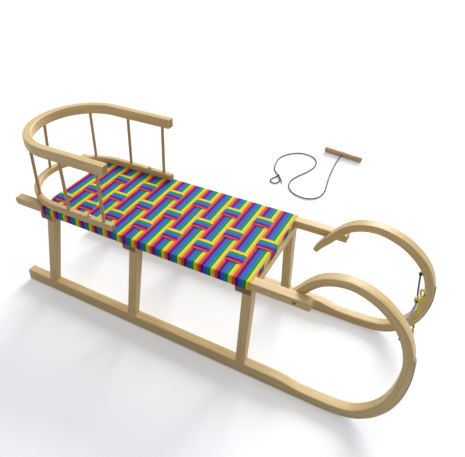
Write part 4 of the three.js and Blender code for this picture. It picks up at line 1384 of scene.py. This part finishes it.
def long_strap(name, y, over_first):
    """A lengthwise strap, over and under the cross straps in turn and round the crossbars."""
    levels = [WEB_MID_Z + (WEB_STEP if (i % 2 == 0) == over_first else -WEB_STEP)
              for i in range(CROSS_STRAPS)]
    ease = STRAP_PITCH * WEB_EASE_SHARE
    seat = []
    for i, level in enumerate(levels):
        edge_x = SEAT_FRONT_X - i * STRAP_PITCH
        seat += [(edge_x - ease, level), (edge_x - STRAP_PITCH + ease, level)]
    low_z = CROSSBAR_TOP_Z - CROSSBAR_TALL - SEAT_GAP - WEB_THICK / 2
    out_x = WEB_THICK / 2 + SEAT_GAP
    bar_half = CROSSBAR_DEEP / 2
    front_x = SEAT_FRONT_X if levels[0] > WEB_MID_Z else CROSSBAR_X["front"] + bar_half
    rear_x = SEAT_REAR_X if levels[-1] > WEB_MID_Z else CROSSBAR_X["rear"] - bar_half
    front_x += out_x
    rear_x -= out_x
    points = [(front_x - LONG_STRAP_UNDER, low_z), (front_x, low_z), (front_x, levels[0])] + seat
    points += [(rear_x, levels[-1]), (rear_x, low_z), (rear_x + LONG_STRAP_UNDER, low_z)]
    line = rounded_line(points, LONG_STRAP_ROUND, LONG_STRAP_STEP)
    made = ribbon(f"strap_long_{name}_web", line, WEB_WIDE - LONG_STRAP_SPARE,
                  lambda x, z, across: Vector((x, y + across, z)))
    return settle(made, WEBBING, "frame", "webbing", f"strap_long_{name}")


for index in range(CROSS_STRAPS):
    cross_strap(index)
for name, y in LONG_STRAP_Y.items():
    long_strap(name, y, name == "middle")


# Backrest
def bow_rows(shape, low_z):
    """Middle line of a bow with its outward direction and width."""
    inner_y = shape["outer"] - shape["wide"]
    outer_reach = BOW_ARC_X - shape["rear"]
    inner_reach = outer_reach - shape["wide"]
    arm = stops(BOW_FRONT_X, BOW_ARC_X, BOW_ARM_STEPS)[:-1]
    pairs = [((x, shape["outer"]), (x, inner_y)) for x in arm]
    for angle in stops(math.pi / 2, 3 * math.pi / 2, BOW_ARC_STEPS):
        pairs.append(((BOW_ARC_X + outer_reach * math.cos(angle), shape["outer"] * math.sin(angle)),
                      (BOW_ARC_X + inner_reach * math.cos(angle), inner_y * math.sin(angle))))
    pairs += [((x, -shape["outer"]), (x, -inner_y)) for x in reversed(arm)]
    rows = []
    for pair in pairs:
        outer, inner = (Vector((*place, low_z + shape["tall"] / 2)) for place in pair)
        rows.append((outer.lerp(inner, 0.5), (outer - inner).normalized(), (outer - inner).length))
    return rows


def bow(name, shape, low_z, grain):
    at, length = along_rows(bow_rows(shape, low_z))

    def place(far):
        middle, out, half = at(far)
        return middle, out, Z_AXIS, half, shape["tall"] / 2

    made = swept_bar(f"{name}_wood", place, length, grain, **BOW_BAR)
    return settle(made, [WOOD, WOOD_END], "backrest", "sled_wood", name)


def bow_point(shape, x, side):
    """The middle of a bow at x, or its rear where side is 0."""
    mid_y = shape["outer"] - shape["wide"] / 2
    mid_rear = shape["rear"] + shape["wide"] / 2
    if side == 0:
        return (mid_rear, 0)
    if x > BOW_ARC_X:
        return (x, side * mid_y)
    share = (BOW_ARC_X - x) / (BOW_ARC_X - mid_rear)
    return (x, side * mid_y * math.sqrt(1 - share * share))


def spindle(name, x, side, grain):
    foot = (*bow_point(LOWER_BOW, x, side), LOWER_BOW_TOP_Z - SPINDLE_BITE)
    head = (*bow_point(UPPER_BOW, x, side), UPPER_BOW_Z + SPINDLE_BITE)
    size = (2 * SPINDLE_RADIUS,) * 2
    at, length = between(foot, head, X_AXIS, Y_AXIS, size, size)
    made = swept_bar(f"{name}_dowel", at, length, grain, **SPINDLE_BAR)
    return settle(made, [DOWEL, DOWEL_END], "backrest", "dowel_wood", name)


def bolt_profile(bottom, head_z):
    """A pointed threaded shank, a plain neck and a domed head."""
    radius, tall = BOLT_HEAD_RADIUS, BOLT_HEAD_TALL
    profile = [(0, bottom), (BOLT_RADIUS - BOLT_POINT, bottom), (BOLT_RADIUS, bottom + BOLT_POINT_LONG)]
    z = bottom + THREAD_START
    while z < head_z - THREAD_BELOW:
        profile += [(BOLT_RADIUS, z), (BOLT_RADIUS - THREAD_DEEP, z + THREAD_PITCH / 2)]
        z += THREAD_PITCH
    rim_z = head_z + BOLT_RIM_TALL
    profile += [(BOLT_RADIUS, head_z - THREAD_BELOW + THREAD_PITCH), (BOLT_RADIUS, head_z),
                (radius - BOLT_RIM_ROUND, head_z), (radius, head_z + BOLT_RIM_ROUND), (radius, rim_z)]
    for angle in stops(0, math.pi / 2, BOLT_DOME_STEPS)[1:-1]:
        profile.append((radius * math.cos(angle) ** BOLT_DOME_POWER,
                        rim_z + (tall - BOLT_RIM_TALL) * math.sin(angle)))
    return profile + [(0, head_z + tall)]


def backrest_bolt(side_name, side):
    """A domed bolt with a hexagon socket."""
    head_z = LOWER_BOW_TOP_Z + SEAT_GAP
    top_z = head_z + BOLT_HEAD_TALL
    profile = bolt_profile(RAIL_TOP_Z - INSERT_LONG + SEAT_GAP, head_z)
    made = turned(f"backrest_bolt_{side_name}_steel", profile, BOLT_SIDES, (BOLT_X, side * BOLT_Y, 0))
    socket = [(BOLT_X, side * BOLT_Y, z) for z in (top_z - SOCKET_DEEP, top_z + SOCKET_PAST)]
    drill(made, [rod("socket", *socket, SOCKET_RADIUS, 6)])
    return settle(made, BOLT_STEEL, f"bolt_{side_name}", "fastener_steel", f"backrest_bolt_{side_name}")


bow("lower_bow", LOWER_BOW, LOWER_BOW_Z, GRAINS["bow"])
bow("upper_bow", UPPER_BOW, UPPER_BOW_Z, GRAINS["bow"] + 1)
spindle("spindle_rear", 0, 0, GRAINS["spindle"])
for order, (side_name, side) in enumerate(SIDES.items()):
    for number, (station, x) in enumerate(SPINDLE_X.items(), len(SPINDLE_X) * order + 1):
        spindle(f"spindle_{side_name}_{station}", x, side, GRAINS["spindle"] + number)
    backrest_bolt(side_name, side)


# Inserts and cable eyes
def rail_insert(side_name):
    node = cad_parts[f"rail_insert_{side_name}"]
    node.data.materials.clear()
    node.data.materials.append(BRASS)


def cable_eye(side_name, side):
    """A black moulded eye on a screw in the hollow of the horn; the cable ends inside it."""
    half = EYE_LONG / 2
    bore = CABLE_RADIUS + SEAT_GAP
    profile = [(0, -half)]
    for angle in stops(0, math.pi / 2, ROUND_STEPS)[1:]:
        profile.append((EYE_RADIUS * math.sin(angle),
                        -half + EYE_RADIUS * EYE_BACK_SHARE * (1 - math.cos(angle))))
    profile += [(EYE_RADIUS * share, half - down) for share, down in EYE_LIP_SHARES]
    profile += [(bore, half), (bore, half - CABLE_BITE), (0, half - CABLE_BITE)]
    place = Vector((EYE_MIDDLE.x, side * EYE_Y, EYE_MIDDLE.z))
    cap = turned("cap", profile, SCREW_SIDES, place, Matrix.Rotation(side * math.pi / 2, 3, "X"))
    shank = rod("shank", place + EYE_OUT * (EYE_RADIUS - EYE_SHANK_BITE),
                place + EYE_OUT * (EYE_RADIUS + EYE_SHANK_LONG), EYE_SHANK_RADIUS)
    made = joined(f"cable_eye_{side_name}_plastic", [cap, shank])
    return settle(made, BLACK, "frame", "eye_plastic", f"cable_eye_{side_name}")


for side_name, side in SIDES.items():
    rail_insert(side_name)
    cable_eye(side_name, side)


# Floor, light and background
FLOOR_HALF = 12
FLOOR_DROP = 0.0002
FLOOR_WHITE = (0.93, 0.94, 0.96, 1)
FLOOR_BOUNCE = (0.45, 0.45, 0.45, 1)
FLOOR_LIFT_TINT = (0.92, 0.95, 1.0, 1)
CAMERA_LIFT = 0.28
AMBIENT = 0.29
SKY = (0.98, 0.99, 1.0, 1)
WHITE = (1, 1, 1, 1)
SUNS = {
    "key": {"strength": 0.5, "angle": 60, "toward": (0.05, -0.55, -1)},
    "low": {"strength": 3.0, "angle": 32, "toward": (0, -1, -0.5)},
    "side": {"strength": 0.3, "angle": 60, "toward": (-1, 0.1, -0.8)},
}


def make_floor():
    """A pale floor that keeps the shadow, and throws less light back on the object than it shows."""
    corners = [(-1, -1), (1, -1), (1, 1), (-1, 1)]
    verts = [Vector((FLOOR_HALF * x, FLOOR_HALF * y, 0)) / MM for x, y in corners]
    made = new_mesh("floor", verts, [(0, 1, 2, 3)])
    made.location.z = -FLOOR_DROP
    s = Shader("floor", roughness=0.9, specular_ior_level=0.0, emission_color=FLOOR_LIFT_TINT)
    seen = s.seen_directly()
    s.feed(s.surface.inputs["Base Color"], s.mix(seen, FLOOR_BOUNCE, FLOOR_WHITE))
    s.feed(s.surface.inputs["Emission Strength"], s.range(seen, 0, 1, 0, CAMERA_LIFT))
    made.data.materials.append(s.material)


def make_world():
    world = bpy.data.worlds.new("studio")
    world.use_nodes = True
    scene.world = world
    n = Nodes(world.node_tree)
    background = n.tree.nodes["Background"]
    seen = n.seen_directly()
    n.feed(background.inputs["Color"], n.mix(seen, SKY, WHITE))
    n.feed(background.inputs["Strength"], n.range(seen, 0, 1, AMBIENT, 1))


def make_lights():
    for name, sun in SUNS.items():
        data = bpy.data.lights.new(name, "SUN")
        data.energy = sun["strength"]
        data.angle = math.radians(sun["angle"])
        light = add_object(name, data)
        light.rotation_euler = Vector(sun["toward"]).to_track_quat("-Z", "Y").to_euler()


make_floor()
make_world()
make_lights()
scene.view_settings.view_transform = "Standard"
